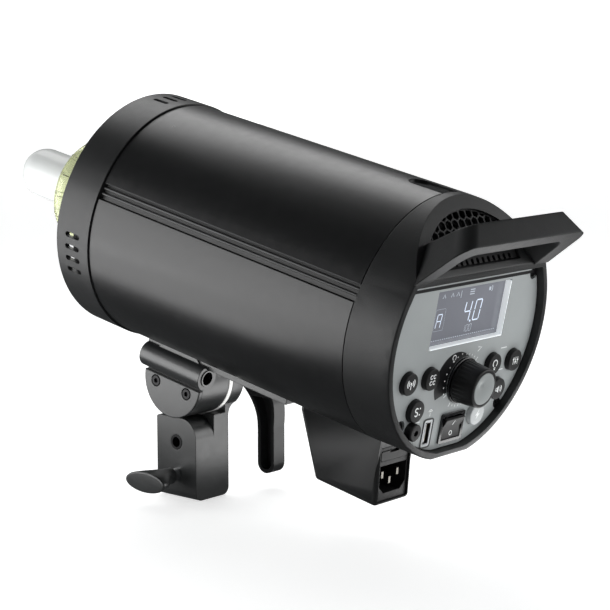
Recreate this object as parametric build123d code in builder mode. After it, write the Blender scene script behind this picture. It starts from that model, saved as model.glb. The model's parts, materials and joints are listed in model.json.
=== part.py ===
"""Monolight strobe: a cylindrical flash head on a tilting stand bracket.

The head is drawn level: Y runs along its optical axis with the light output at -Y and the
control panel at +Y, Z is up, and the origin is on the axis of the round body where the front
ring meets it. The stand bracket is drawn in the finished frame: the origin is the mouth of the
stand socket, Z is up along the stand, and the tilt axle lies along X above it. Millimetres.
"""

import os
from math import atan2, cos, degrees, radians, sin, sqrt

from build123d import *

os.makedirs("parts", exist_ok=True)

# ---------------------------------------------------------------- driving dimensions
BODY_R = 72.0          # lower arc of the housing section
CROWN_R = 70.5         # upper arc of the housing section
CROWN_RISE = 3.8       # centre of the upper arc above the body axis
SHELL_WALL = 2.2
BODY_FRONT = 0.8
BODY_REAR = 199.2

RING_PROUD = 1.0       # the front ring stands out from the body by this much
RING_FRONT = -27.8
RING_WALL = 3.2

COVER_FRONT = 199.8
COVER_REAR = 230.7
COVER_TAPER = 0.8      # how much smaller the cover's section is at its rear edge
COVER_WALL = 3.0
SLANT_Z = 38.2         # height where the cover's end starts to lean forward
SLANT_SLOPE = 0.72     # mm forward for each mm up
FLAT_Z = -69.2         # flat underside of the cover at its rear edge
PANEL_REAR = 226.2     # visible face of the control panel
PANEL_THICK = 2.6
PANEL_TOP = 34.2
PANEL_FOOT = -66.0
PANEL_INSET = 4.0      # rim of the cover round the panel

REST_TILT = 11.84      # the head rests with its rear end this many degrees down
PIVOT_Y = 32.8         # tilt axle in the head's own frame
PIVOT_Z = -90.2
PIVOT_HEIGHT = 75.0    # tilt axle above the mouth of the stand socket
DRUM_R = 23.7

SPIGOT_R = 8.1         # socket for a 16 mm stand spigot
RUN_CLEAR = 0.05       # radial running clearance of turning pins

# ---------------------------------------------------------------- placing and writing
AS_DRAWN = Location()
HEAD_AT_REST = (
    Location((0, 0, PIVOT_HEIGHT))
    * Location((0, 0, 0), (-REST_TILT, 0, 0))
    * Location((0, -PIVOT_Y, -PIVOT_Z))
)


def finish(piece, node, place=HEAD_AT_REST):
    """Bring a finished piece to its rest place, label it and write its STEP file."""
    piece.part = piece.part.moved(place)
    piece.part.label = node
    export_step(piece.part, f"parts/{node}.step")


def facing_rear(y):
    """Plane across the body axis, seen by the operator: x to the operator's right, y up."""
    return Plane(origin=(0, y, 0), x_dir=(-1, 0, 0), z_dir=(0, 1, 0))


def facing_side(x):
    """Plane along the body axis: sketch x is Y, sketch y is Z, and it extrudes towards +X."""
    return Plane(origin=(x, 0, 0), x_dir=(0, 1, 0), z_dir=(1, 0, 0))


def radial(angle, y, radius):
    """Plane tangent to the body at an angle up from +X; sketch x runs along the axis."""
    out = Vector(cos(radians(angle)), 0, sin(radians(angle)))
    return Plane(origin=out * radius + Vector(0, y, 0), x_dir=(0, 1, 0), z_dir=out)


def body_outline(inset):
    """Section of the housing: a round lower part under a slightly raised crown."""
    Circle(BODY_R - inset)
    with Locations((0, CROWN_RISE)):
        Circle(CROWN_R - inset)


def tube_section(outer_inset, inner_inset):
    """Ring-shaped section between two insets of the housing outline."""
    body_outline(outer_inset)
    Circle(BODY_R - inner_inset, mode=Mode.SUBTRACT)
    with Locations((0, CROWN_RISE)):
        Circle(CROWN_R - inner_inset, mode=Mode.SUBTRACT)


# ---------------------------------------------------------------- front ring and mount
SLOT_LENGTH = 12.0
SLOT_WIDTH = 3.1
SLOT_Y = -13.5
SIDE_SLOT_ANGLES = (-4.6, -10.6, -16.6, -22.6)
TOP_SLOT_ANGLES = (80, 86, 92, 98)
CATCH_ANGLE = 135.0
CATCH_TRAVEL = 6.0
FLANGE_FRONT = -18.0
FLANGE_BACK = -14.0
FLANGE_R = 68.4
LUG_R = 46.5           # inner edge of the bayonet lugs
THROAT_R = 52.0        # radius of the openings between the lugs
LOCK_PIN_RADIUS = 61.5
MOUNT_SCREW_RADIUS = 63.5
MOUNT_SCREW_COUNT = 6

slot_angles = list(TOP_SLOT_ANGLES)
for slot_angle in SIDE_SLOT_ANGLES:
    slot_angles += [slot_angle, 180 - slot_angle]

with BuildPart() as front_ring:
    with BuildSketch(facing_rear(RING_FRONT)):
        tube_section(-RING_PROUD, RING_WALL - RING_PROUD)
    extrude(amount=-RING_FRONT)
    front_face = front_ring.faces().sort_by(Axis.Y)[0]
    fillet(front_face.edges(), radius=1.2)
    for slot_angle in slot_angles:
        with BuildSketch(radial(slot_angle, SLOT_Y, BODY_R - 8)):
            SlotOverall(SLOT_LENGTH, SLOT_WIDTH)
        extrude(amount=14, mode=Mode.SUBTRACT)
    with BuildSketch(radial(CATCH_ANGLE, -13, BODY_R - 8)):
        RectangleRounded(20.4, 12.6, 1.5)
    extrude(amount=14, mode=Mode.SUBTRACT)
finish(front_ring, "front_ring")

with BuildPart() as mount_carrier:
    with BuildSketch(facing_rear(FLANGE_BACK)):
        body_outline(RING_WALL - RING_PROUD + 0.1)
    extrude(amount=BODY_FRONT - 0.1 - FLANGE_BACK)
    with BuildSketch(facing_rear(0)):
        body_outline(SHELL_WALL + 2.8)
    extrude(amount=6)
    with BuildSketch(facing_rear(FLANGE_BACK)):
        Circle(57)
    extrude(amount=10, mode=Mode.SUBTRACT)
    with BuildSketch(facing_rear(-4)):
        Circle(14)
    extrude(amount=10, mode=Mode.SUBTRACT)
    with BuildSketch(radial(CATCH_ANGLE, -4.5, 57.5)):
        Rectangle(19.2, 8.4)
    extrude(amount=20, mode=Mode.SUBTRACT)
    with BuildSketch(radial(CATCH_ANGLE, -4.5, 64.2)):
        Rectangle(19.2, 13.0)
    extrude(amount=14, mode=Mode.SUBTRACT)
    with BuildSketch(facing_rear(FLANGE_BACK)):
        with PolarLocations(MOUNT_SCREW_RADIUS, MOUNT_SCREW_COUNT, start_angle=15):
            Circle(1.5)
    extrude(amount=8, mode=Mode.SUBTRACT)
finish(mount_carrier, "mount_carrier")

with BuildPart() as mount_flange:
    with BuildSketch(facing_rear(FLANGE_FRONT)):
        Circle(FLANGE_R)
        Circle(LUG_R, mode=Mode.SUBTRACT)
    extrude(amount=FLANGE_BACK - FLANGE_FRONT)
    for gap_angle in (90, 210, 330):
        with BuildSketch(facing_rear(FLANGE_FRONT)):
            with BuildLine():
                half = 20
                near = LUG_R - 2
                Line(
                    (near * cos(radians(gap_angle - half)), near * sin(radians(gap_angle - half))),
                    (THROAT_R * cos(radians(gap_angle - half)), THROAT_R * sin(radians(gap_angle - half))),
                )
                CenterArc((0, 0), THROAT_R, gap_angle - half, 2 * half)
                Line(
                    (THROAT_R * cos(radians(gap_angle + half)), THROAT_R * sin(radians(gap_angle + half))),
                    (near * cos(radians(gap_angle + half)), near * sin(radians(gap_angle + half))),
                )
                CenterArc((0, 0), near, gap_angle + half, -2 * half)
            make_face()
        extrude(amount=FLANGE_BACK - FLANGE_FRONT, mode=Mode.SUBTRACT)
    with BuildSketch(facing_rear(FLANGE_FRONT)):
        with PolarLocations(MOUNT_SCREW_RADIUS, MOUNT_SCREW_COUNT, start_angle=15):
            Circle(1.6)
    extrude(amount=FLANGE_BACK - FLANGE_FRONT, mode=Mode.SUBTRACT)
    with BuildSketch(Plane.XZ.offset(-FLANGE_FRONT)):
        with Locations(
            (LOCK_PIN_RADIUS * cos(radians(CATCH_ANGLE)), LOCK_PIN_RADIUS * sin(radians(CATCH_ANGLE)))
        ):
            Circle(2.7)
    extrude(amount=FLANGE_FRONT - FLANGE_BACK, mode=Mode.SUBTRACT)
    chamfer(mount_flange.faces().sort_by(Axis.Y)[0].outer_wire().edges(), length=0.6)
    with BuildSketch(radial(CATCH_ANGLE, FLANGE_BACK, 64.6)):
        Rectangle(10, 12.4)
    extrude(amount=6, mode=Mode.SUBTRACT)
finish(mount_flange, "mount_flange")

with BuildPart() as mount_screws:
    with BuildSketch(facing_rear(FLANGE_FRONT - 1.6)):
        with PolarLocations(MOUNT_SCREW_RADIUS, MOUNT_SCREW_COUNT, start_angle=15):
            Circle(2.8)
    extrude(amount=1.6)
    with BuildSketch(facing_rear(FLANGE_FRONT)):
        with PolarLocations(MOUNT_SCREW_RADIUS, MOUNT_SCREW_COUNT, start_angle=15):
            Circle(1.45)
    extrude(amount=10)
    with BuildSketch(facing_rear(FLANGE_FRONT - 1.6)):
        with PolarLocations(MOUNT_SCREW_RADIUS, MOUNT_SCREW_COUNT, start_angle=15):
            RegularPolygon(1.25, 6)
    extrude(amount=1.0, mode=Mode.SUBTRACT)
finish(mount_screws, "mount_screws")

with BuildPart() as release_catch:
    with BuildSketch(radial(CATCH_ANGLE, -16.6, 56.8)):
        RectangleRounded(11.6, 11.6, 1.2)
    extrude(amount=20.2)
    for rib_y in (-20.2, -17.8, -15.4, -13.0):
        with BuildSketch(radial(CATCH_ANGLE, rib_y, 76.0)):
            Rectangle(1.0, 12)
        extrude(amount=1.4, mode=Mode.SUBTRACT)
    with BuildSketch(radial(CATCH_ANGLE, -16.6, 56.0)):
        Rectangle(13, 14)
    extrude(amount=9.0, mode=Mode.SUBTRACT)
    with BuildSketch(radial(CATCH_ANGLE, -11.6, 58.0)):
        Rectangle(4.0, 6.4)
    extrude(amount=8.0)
    with BuildSketch(Plane.XZ.offset(22.4)):
        with Locations(
            (LOCK_PIN_RADIUS * cos(radians(CATCH_ANGLE)), LOCK_PIN_RADIUS * sin(radians(CATCH_ANGLE)))
        ):
            Circle(2.6)
    extrude(amount=-13)
finish(release_catch, "release_catch")

# ---------------------------------------------------------------- flash tube and lamp
PAN_FRONT = -5.6
PAN_THICK = 1.5
TUBE_RING_R = 29.5     # centre line of the flash tube ring
TUBE_R = 6.0
TUBE_RING_Y = -70.0
TUBE_GAP = 32.0        # degrees left open at the bottom of the ring
LAMP_R = 16.0
LAMP_TIP = -135.1
LAMP_NECK_R = 12.6
HOLDER_R = 19.0

leg_angle = -90 + TUBE_GAP / 2
leg_x = TUBE_RING_R * cos(radians(leg_angle))
leg_z = TUBE_RING_R * sin(radians(leg_angle))

with BuildPart() as reflector_plate:
    with BuildSketch(facing_rear(PAN_FRONT)):
        Circle(56.6)
        Circle(HOLDER_R + 0.2, mode=Mode.SUBTRACT)
        with Locations((leg_x, leg_z), (-leg_x, leg_z)):
            Circle(8.2, mode=Mode.SUBTRACT)
    extrude(amount=PAN_THICK)
    with BuildSketch(facing_rear(PAN_FRONT)):
        Circle(56.6)
        Circle(55.4, mode=Mode.SUBTRACT)
    extrude(amount=-5)
finish(reflector_plate, "reflector_plate")

with BuildPart() as lamp_socket:
    with BuildSketch(facing_rear(-36)):
        Circle(HOLDER_R - 1.5)
    extrude(amount=8)
    with BuildSketch(facing_rear(-28)):
        Circle(HOLDER_R)
    extrude(amount=24)
    with BuildSketch(facing_rear(-36)):
        Circle(13.4)
    extrude(amount=26, mode=Mode.SUBTRACT)
finish(lamp_socket, "lamp_socket")

with BuildPart() as lamp_cap:
    with BuildSketch(Plane.YZ):
        with BuildLine():
            Polyline(
                (-38, 0), (-38, 12.9), (-35, 12.9), (-34, 13.2), (-15.4, 13.2), (-12.4, 6), (-10.2, 5.2),
                (-10.2, 0), (-38, 0),
            )
        make_face()
    revolve(axis=Axis.Y)
finish(lamp_cap, "lamp_cap")

with BuildPart() as modelling_lamp:
    shoulder_y = -56
    tip_centre = LAMP_TIP + LAMP_R
    with BuildSketch(Plane.YZ):
        with BuildLine():
            Line((-38, 0), (-38, LAMP_NECK_R))
            Line((-38, LAMP_NECK_R), (-44, LAMP_NECK_R))
            Spline((-44, LAMP_NECK_R), (shoulder_y, LAMP_R), tangents=((-1, 0.15), (-1, 0)))
            Line((shoulder_y, LAMP_R), (tip_centre, LAMP_R))
            CenterArc((tip_centre, 0), LAMP_R, 90, 90)
            Line((LAMP_TIP, 0), (-38, 0))
        make_face()
    revolve(axis=Axis.Y)
finish(modelling_lamp, "modelling_lamp")

with BuildPart() as flash_tube:
    leg_out = Vector(-leg_x, 0, leg_z).normalized()
    with BuildSketch(Plane(origin=(0, TUBE_RING_Y, 0), x_dir=leg_out, z_dir=Vector(0, 1, 0).cross(leg_out))):
        with Locations((TUBE_RING_R, 0)):
            Circle(TUBE_R)
    revolve(axis=Axis.Y, revolution_arc=360 - TUBE_GAP)
    with Locations((leg_x, TUBE_RING_Y, leg_z), (-leg_x, TUBE_RING_Y, leg_z)):
        Sphere(TUBE_R)
    with BuildSketch(facing_rear(TUBE_RING_Y)):
        with Locations((leg_x, leg_z), (-leg_x, leg_z)):
            Circle(TUBE_R)
    extrude(amount=48)
finish(flash_tube, "flash_tube")

with BuildPart() as tube_socket:
    with BuildSketch(facing_rear(-30)):
        with Locations((leg_x, leg_z), (-leg_x, leg_z)):
            Circle(7.9)
            Circle(TUBE_R + 0.1, mode=Mode.SUBTRACT)
    extrude(amount=26)
    with BuildSketch(facing_rear(-18)):
        with Locations((leg_x, leg_z), (-leg_x, leg_z)):
            Circle(7.0)
    extrude(amount=14)
finish(tube_socket, "tube_socket")

# ---------------------------------------------------------------- housing shells and trim
GROOVE_TOP = 30.1      # height of the groove's edges at the front end of the body
GROOVE_FOOT = 20.7
GROOVE_FALL = 0.009    # the groove drops this much for each mm towards the rear
WINDOW_WIDTH = 15.0
WINDOW_FRONT = 179.5   # centre of the window's round front end


def along_groove(height):
    """Plane that follows one edge of the side groove."""
    return Plane(origin=(0, 0, height), x_dir=(1, 0, 0), z_dir=(0, GROOVE_FALL, 1))


def window_outline(inset):
    """Outline of the top window seen from above: straight sides and a round front end."""
    width = WINDOW_WIDTH - 2 * inset
    with Locations((0, WINDOW_FRONT)):
        Circle(width / 2)
    rear = BODY_REAR - inset
    with Locations((0, (WINDOW_FRONT + rear) / 2)):
        Rectangle(width, rear - WINDOW_FRONT)


with BuildPart() as body_upper_shell:
    with BuildSketch(facing_rear(BODY_FRONT)):
        tube_section(0, SHELL_WALL)
    extrude(amount=BODY_REAR - BODY_FRONT)
    split(bisect_by=along_groove(GROOVE_TOP), keep=Keep.TOP)
    with BuildSketch(Plane.XY.offset(BODY_R - 12)):
        window_outline(0)
    extrude(amount=20, mode=Mode.SUBTRACT)
finish(body_upper_shell, "body_upper_shell")

with BuildPart() as body_lower_shell:
    with BuildSketch(facing_rear(BODY_FRONT)):
        tube_section(0, SHELL_WALL)
    extrude(amount=BODY_REAR - BODY_FRONT)
    split(bisect_by=along_groove(GROOVE_FOOT), keep=Keep.BOTTOM)
    with BuildSketch(Plane.XY.offset(-BODY_R - 2)):
        with Locations((0, 172)):
            Rectangle(20, 30)
    extrude(amount=12, mode=Mode.SUBTRACT)
finish(body_lower_shell, "body_lower_shell")

RIB_ANGLES = (22.6, 19.8)
for side, node in ((1, "right_side_rail"), (-1, "left_side_rail")):
    with BuildPart() as side_rail:
        with BuildSketch(facing_rear(BODY_FRONT + 0.4)):
            tube_section(SHELL_WALL + 0.2, SHELL_WALL + 2.6)
        extrude(amount=BODY_REAR - BODY_FRONT - 0.8)
        split(bisect_by=along_groove(GROOVE_TOP + 4), keep=Keep.BOTTOM)
        split(bisect_by=along_groove(GROOVE_FOOT - 5), keep=Keep.TOP)
        split(bisect_by=Plane.YZ, keep=Keep.TOP if side > 0 else Keep.BOTTOM)
        for rib_angle in RIB_ANGLES:
            rib_x = cos(radians(rib_angle)) * (BODY_R - 4)
            rib_z = sin(radians(rib_angle)) * (BODY_R - 4)
            tilt = rib_angle if side > 0 else 180 - rib_angle
            rib_dir = Vector(cos(radians(tilt)), 0, sin(radians(tilt)))
            rib_run = Vector(0, 1, -GROOVE_FALL).normalized()
            start = Vector(side * rib_x, BODY_FRONT + 0.4, rib_z)
            with BuildSketch(Plane(origin=start, x_dir=rib_dir, z_dir=rib_run)):
                with Locations((1.4, 0)):
                    RectangleRounded(4.2, 1.5, 0.7)
            extrude(amount=BODY_REAR - BODY_FRONT - 0.8)
    finish(side_rail, node)

with BuildPart() as sensor_window:
    with BuildSketch(facing_rear(WINDOW_FRONT - WINDOW_WIDTH)):
        tube_section(1.3, SHELL_WALL + 1.2)
    extrude(amount=BODY_REAR - WINDOW_FRONT + WINDOW_WIDTH)
    with BuildSketch(Plane.XY.offset(BODY_R - 12)):
        window_outline(0.15)
    extrude(amount=20, mode=Mode.INTERSECT)
finish(sensor_window, "sensor_window")

# ---------------------------------------------------------------- rear cover and vent
SLANT_ANGLE = degrees(atan2(SLANT_SLOPE, 1))
SLANT_NORMAL = Vector(0, cos(radians(SLANT_ANGLE)), sin(radians(SLANT_ANGLE)))
VENT_INSET = 6.0
VENT_FOOT = 41.2
FOOT_INNER_X = 37.0    # the handle's feet start this far from the middle
FOOT_TOP_Z = 56.0
VENT_STEP = 1.8        # the grille sits this far below the slanted face
GRILLE_THICK = 2.0
SLOT_ROOM = 5.2        # height kept for the row of slots below the cells
CELL_ACROSS = 5.0
CELL_PITCH = 6.0
LEDGE = 4.0            # shelf behind the control panel
LEDGE_THICK = 3.0
SCREW_SPOTS = ((-57.6, 29.8), (57.6, 29.8), (-45.2, -46.6), (45.2, -46.6))
USB = (-19.5, -54.6)
SYNC = (-36.0, -50.2)
PANEL_BACK = PANEL_REAR - PANEL_THICK


def slanted(depth):
    """Plane of the slanted end, moved a distance into the cover."""
    foot = Vector(0, COVER_REAR, SLANT_Z) - SLANT_NORMAL * depth
    return Plane(origin=foot, x_dir=(-1, 0, 0), z_dir=SLANT_NORMAL)


def cover_body(front, rear, inset):
    """Tapered solid of the rear cover between two stations, at an inset from its skin."""
    sections = []
    for station in (front, rear):
        share = (station - COVER_FRONT) / (COVER_REAR - COVER_FRONT)
        with BuildSketch(facing_rear(station)) as section:
            body_outline(inset + COVER_TAPER * share)
        sections.append(section.sketch)
    loft(sections)


def panel_outline(inset):
    """Round lower part with a straight top and a flat foot, as the operator sees it."""
    Circle(BODY_R - COVER_TAPER - PANEL_INSET - inset)
    with Locations((0, CROWN_RISE)):
        Circle(CROWN_R - COVER_TAPER - PANEL_INSET - inset)
    with Locations((0, (PANEL_TOP + PANEL_FOOT) / 2)):
        Rectangle(2 * BODY_R, PANEL_TOP - PANEL_FOOT - 2 * inset, mode=Mode.INTERSECT)


def vent_outline(inset):
    """Arch of the vent under the crown, stepped in at both ends to clear the handle's feet."""
    with Locations((0, CROWN_RISE)):
        Circle(CROWN_R - COVER_TAPER - VENT_INSET - inset)
    with Locations((0, VENT_FOOT + inset + BODY_R / 2)):
        Rectangle(2 * BODY_R, BODY_R, mode=Mode.INTERSECT)
    with Locations((-BODY_R, 0), (BODY_R, 0)):
        Rectangle(2 * (BODY_R - FOOT_INNER_X + inset), 2 * (FOOT_TOP_Z + inset), mode=Mode.SUBTRACT)


with BuildPart() as cover_space:
    cover_body(COVER_FRONT - 0.1, PANEL_BACK - LEDGE_THICK, COVER_WALL)
    split(bisect_by=slanted(VENT_STEP + GRILLE_THICK + 1.2), keep=Keep.BOTTOM)
    with BuildSketch(facing_rear(PANEL_BACK - LEDGE_THICK)):
        panel_outline(LEDGE)
    extrude(amount=LEDGE_THICK + 1)
    with BuildSketch(facing_rear(PANEL_BACK)):
        panel_outline(-0.3)
    extrude(amount=12)
    with BuildSketch(facing_rear(COVER_FRONT)):
        vent_outline(2.2)
    extrude(amount=COVER_REAR - COVER_FRONT)
with BuildPart() as vent_pocket:
    with BuildSketch(facing_rear(COVER_FRONT)):
        vent_outline(0)
    extrude(amount=COVER_REAR - COVER_FRONT + 5)
    split(bisect_by=slanted(VENT_STEP + GRILLE_THICK), keep=Keep.TOP)

with BuildPart() as rear_cover:
    cover_body(COVER_FRONT, COVER_REAR, 0)
    split(bisect_by=slanted(0), keep=Keep.BOTTOM)
    foot_slope = degrees(atan2(BODY_R + FLAT_Z, COVER_REAR - 206))
    split(
        bisect_by=Plane(
            origin=(0, COVER_REAR, FLAT_Z),
            x_dir=(1, 0, 0),
            z_dir=(0, -sin(radians(foot_slope)), cos(radians(foot_slope))),
        ),
        keep=Keep.TOP,
    )
    fillet(rear_cover.faces().sort_by(Axis.Y)[-1].outer_wire().edges(), radius=0.8)
    add(cover_space.part, mode=Mode.SUBTRACT)
    add(vent_pocket.part, mode=Mode.SUBTRACT)
    with BuildSketch(facing_rear(PANEL_BACK - LEDGE_THICK)):
        with Locations(*SCREW_SPOTS):
            Circle(2.9)
    extrude(amount=LEDGE_THICK)
    with BuildSketch(facing_rear(PANEL_BACK - LEDGE_THICK)):
        with Locations(*SCREW_SPOTS):
            Circle(1.3)
        with Locations(SYNC):
            Circle(4.2)
        with Locations(USB):
            Rectangle(5.8, 13.8)
    extrude(amount=LEDGE_THICK, mode=Mode.SUBTRACT)
finish(rear_cover, "rear_cover")

with BuildPart() as cell_cuts:
    vent_rise = (CROWN_RISE + CROWN_R - COVER_TAPER - VENT_INSET - SLANT_Z) / cos(radians(SLANT_ANGLE))
    row_step = CELL_PITCH * sqrt(3) / 2
    cells = []
    for row in range(6):
        shift = CELL_PITCH / 2 * (row % 2)
        cells += [(column * CELL_PITCH + shift, vent_rise - 2.5 - row * row_step) for column in range(-9, 9)]
    with BuildSketch(slanted(VENT_STEP + GRILLE_THICK + 1)):
        with Locations(*cells):
            RegularPolygon(CELL_ACROSS / 2, 6, major_radius=False, rotation=30)
    extrude(amount=GRILLE_THICK + 2)
    with BuildSketch(facing_rear(COVER_FRONT)):
        vent_outline(1.4)
        with Locations((0, VENT_FOOT)):
            Rectangle(2 * BODY_R, 2 * SLOT_ROOM, mode=Mode.SUBTRACT)
    extrude(amount=COVER_REAR - COVER_FRONT + 5, mode=Mode.INTERSECT)

with BuildPart() as vent_grille:
    with BuildSketch(facing_rear(COVER_FRONT)):
        vent_outline(0.2)
    extrude(amount=COVER_REAR - COVER_FRONT + 5)
    split(bisect_by=slanted(VENT_STEP), keep=Keep.BOTTOM)
    split(bisect_by=slanted(VENT_STEP + GRILLE_THICK - 0.1), keep=Keep.TOP)
    add(cell_cuts.part, mode=Mode.SUBTRACT)
    slot_rise = (VENT_FOOT - SLANT_Z) / cos(radians(SLANT_ANGLE)) + 2.8
    with BuildSketch(slanted(VENT_STEP + GRILLE_THICK + 1)):
        with Locations(*((slot_index * 5.0, slot_rise) for slot_index in range(-6, 7))):
            SlotOverall(4.2, 2.2, rotation=90)
    extrude(amount=GRILLE_THICK + 2, mode=Mode.SUBTRACT)
finish(vent_grille, "vent_grille")

# ---------------------------------------------------------------- carry handle
HOOP_SLOPE = 41.3      # the handle rises this steeply towards the rear
HANDLE_DEPTH = 20.6    # height of its section at the root
HANDLE_REACH = 36.6    # run from the rear edge of the cover to the far side
CROSS_BAR = 9.6
FOOT_TILT = 5.4        # its lower face rises and its upper face falls towards the far side
TOP_TILT = -6.3

hoop_run = Vector(0, cos(radians(HOOP_SLOPE)), sin(radians(HOOP_SLOPE)))
hoop_up = Vector(0, -sin(radians(HOOP_SLOPE)), cos(radians(HOOP_SLOPE)))


def hoop_plane(height, tilt):
    """Plane across the handle at a height above its lower face; sketch y runs outwards."""
    origin = Vector(0, COVER_REAR, SLANT_Z - 1.4) + hoop_up * height
    return Plane(origin=origin, x_dir=(1, 0, 0), z_dir=hoop_up).rotated((tilt, 0, 0))


def hoop_section(plane, root_half, end_half, reach, corner):
    """Face that narrows or widens from the root to a round-cornered far side."""
    run_in = 26
    start_half = root_half + (root_half - end_half) * run_in / reach
    with BuildSketch(plane) as section:
        with BuildLine():
            FilletPolyline(
                (-start_half, -run_in), (-end_half, reach), (end_half, reach), (start_half, -run_in),
                radius=corner,
            )
            Line((start_half, -run_in), (-start_half, -run_in))
        make_face()
    return section.sketch


with BuildPart() as carry_handle:
    foot_plane = hoop_plane(0, FOOT_TILT)
    top_plane = hoop_plane(HANDLE_DEPTH, TOP_TILT)
    loft([
        hoop_section(foot_plane, 62.6, 58.6, HANDLE_REACH, 12),
        hoop_section(top_plane, 42.3, 49.0, HANDLE_REACH, 9),
    ])
    below = hoop_plane(-2, FOOT_TILT)
    above = hoop_plane(HANDLE_DEPTH + 2, TOP_TILT)
    loft(
        [
            hoop_section(below, 50.5, 46.5, HANDLE_REACH - CROSS_BAR + 0.6, 9),
            hoop_section(above, 33.0, 35.5, HANDLE_REACH - CROSS_BAR - 0.6, 9),
        ],
        mode=Mode.SUBTRACT,
    )
    with BuildSketch(facing_side(-BODY_R)):
        with BuildLine():
            Polyline(
                (COVER_FRONT - 20, 0), (COVER_REAR + 0.05, 0), (COVER_REAR + 0.05, SLANT_Z),
                (COVER_REAR + 0.05 - SLANT_SLOPE * 60, SLANT_Z + 60), (COVER_FRONT - 20, SLANT_Z + 60),
                (COVER_FRONT - 20, 0),
            )
        make_face()
    extrude(amount=2 * BODY_R, mode=Mode.SUBTRACT)
finish(carry_handle, "carry_handle")

# ---------------------------------------------------------------- control panel
# Control positions are as the operator sees them: x to the right, y up from the body axis.
SCREEN_X, SCREEN_Z = 2.5, 11.6
SCREEN_WIDE, SCREEN_HIGH = 68.5, 33.5
DIAL = (5.0, -27.0)
DIAL_HOLE_R = 5.0
BUTTON_R = 6.4
BUTTON_HOLE_R = 6.7
BUTTON_PROUD = 3.0
BUTTONS = {
    "wireless_button": (-46.5, -21.0),
    "group_button": (-27.0, -21.2),
    "mode_button": (-36.0, -38.4),
    "lamp_button": (31.2, -20.9),
    "function_button": (51.5, -21.3),
    "buzzer_button": (39.8, -36.9),
    "test_button": (22.9, -49.6),
}
ROCKER = (2.45, -54.2)
ROCKER_AXIS_Y = 225.6
BOARD_FRONT = 212.4
BOARD_THICK = 1.6

with BuildPart() as control_panel:
    with BuildSketch(facing_rear(PANEL_BACK)):
        panel_outline(0.3)
        with Locations(*SCREW_SPOTS):
            Circle(3.7, mode=Mode.SUBTRACT)
        with Locations((SCREEN_X, SCREEN_Z)):
            RectangleRounded(SCREEN_WIDE, SCREEN_HIGH, 0.8, mode=Mode.SUBTRACT)
        with Locations(*BUTTONS.values()):
            Circle(BUTTON_HOLE_R, mode=Mode.SUBTRACT)
        with Locations(DIAL):
            Circle(DIAL_HOLE_R, mode=Mode.SUBTRACT)
        with Locations(ROCKER):
            Rectangle(19.4, 15.6, mode=Mode.SUBTRACT)
        with Locations(USB):
            Rectangle(5.5, 13.4, mode=Mode.SUBTRACT)
        with Locations(SYNC):
            Circle(4.0, mode=Mode.SUBTRACT)
    extrude(amount=PANEL_THICK)
finish(control_panel, "control_panel")

with BuildPart() as panel_screws:
    with BuildSketch(facing_rear(PANEL_BACK + 0.1)):
        with Locations(*SCREW_SPOTS):
            Circle(2.4)
    extrude(amount=2.0)
    with BuildSketch(facing_rear(PANEL_BACK - LEDGE_THICK - 2)):
        with Locations(*SCREW_SPOTS):
            Circle(1.25)
    extrude(amount=LEDGE_THICK + 2.5)
    with BuildSketch(facing_rear(PANEL_BACK + 1.1)):
        with Locations(*SCREW_SPOTS):
            Rectangle(3.0, 0.7)
            Rectangle(0.7, 3.0)
    extrude(amount=1.5, mode=Mode.SUBTRACT)
finish(panel_screws, "panel_screws")

with BuildPart() as lcd_module:
    with BuildSketch(facing_rear(BOARD_FRONT + BOARD_THICK)):
        with Locations((SCREEN_X, SCREEN_Z)):
            Rectangle(SCREEN_WIDE + 6, SCREEN_HIGH + 2.6)
    extrude(amount=PANEL_BACK - BOARD_FRONT - BOARD_THICK)
    with BuildSketch(facing_rear(PANEL_BACK - 1.2)):
        with Locations((SCREEN_X, SCREEN_Z)):
            Rectangle(SCREEN_WIDE + 1, SCREEN_HIGH + 1)
    extrude(amount=2, mode=Mode.SUBTRACT)
finish(lcd_module, "lcd_module")

with BuildPart() as display_board:
    with BuildSketch(facing_rear(BOARD_FRONT)):
        with Locations((0, -6.0)):
            Rectangle(104, 72)
        with Locations((23.5, -49)):
            Rectangle(16, 16)
    extrude(amount=BOARD_THICK)
    with BuildSketch(facing_rear(BOARD_FRONT + BOARD_THICK)):
        with Locations(*BUTTONS.values()):
            Rectangle(6, 6)
    extrude(amount=4.4)
    with BuildSketch(facing_rear(BOARD_FRONT + BOARD_THICK)):
        with Locations(*BUTTONS.values()):
            Circle(1.7)
    extrude(amount=5.9)
finish(display_board, "display_board")

with BuildPart() as dial_encoder:
    with BuildSketch(facing_rear(BOARD_FRONT + BOARD_THICK)):
        with Locations(DIAL):
            Rectangle(12, 12)
    extrude(amount=7)
    with BuildSketch(facing_rear(BOARD_FRONT + BOARD_THICK)):
        with Locations(DIAL):
            Circle(4.5)
    extrude(amount=13)
    with BuildSketch(facing_rear(BOARD_FRONT + BOARD_THICK + 2)):
        with Locations(DIAL):
            Circle(3.0 + RUN_CLEAR)
    extrude(amount=13, mode=Mode.SUBTRACT)
finish(dial_encoder, "dial_encoder")

with BuildPart() as dial_collar:
    with BuildSketch(facing_rear(PANEL_REAR)):
        with Locations(DIAL):
            Circle(13.6)
            Circle(4.6, mode=Mode.SUBTRACT)
    extrude(amount=1.5)
    fillet(dial_collar.faces().sort_by(Axis.Y)[-1].outer_wire().edges(), radius=0.6)
finish(dial_collar, "dial_collar")

with BuildPart() as dial_shaft:
    with BuildSketch(facing_rear(BOARD_FRONT + BOARD_THICK + 2.4)):
        with Locations(DIAL):
            Circle(3.0)
    extrude(amount=20.6)
finish(dial_shaft, "dial_shaft")

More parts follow.
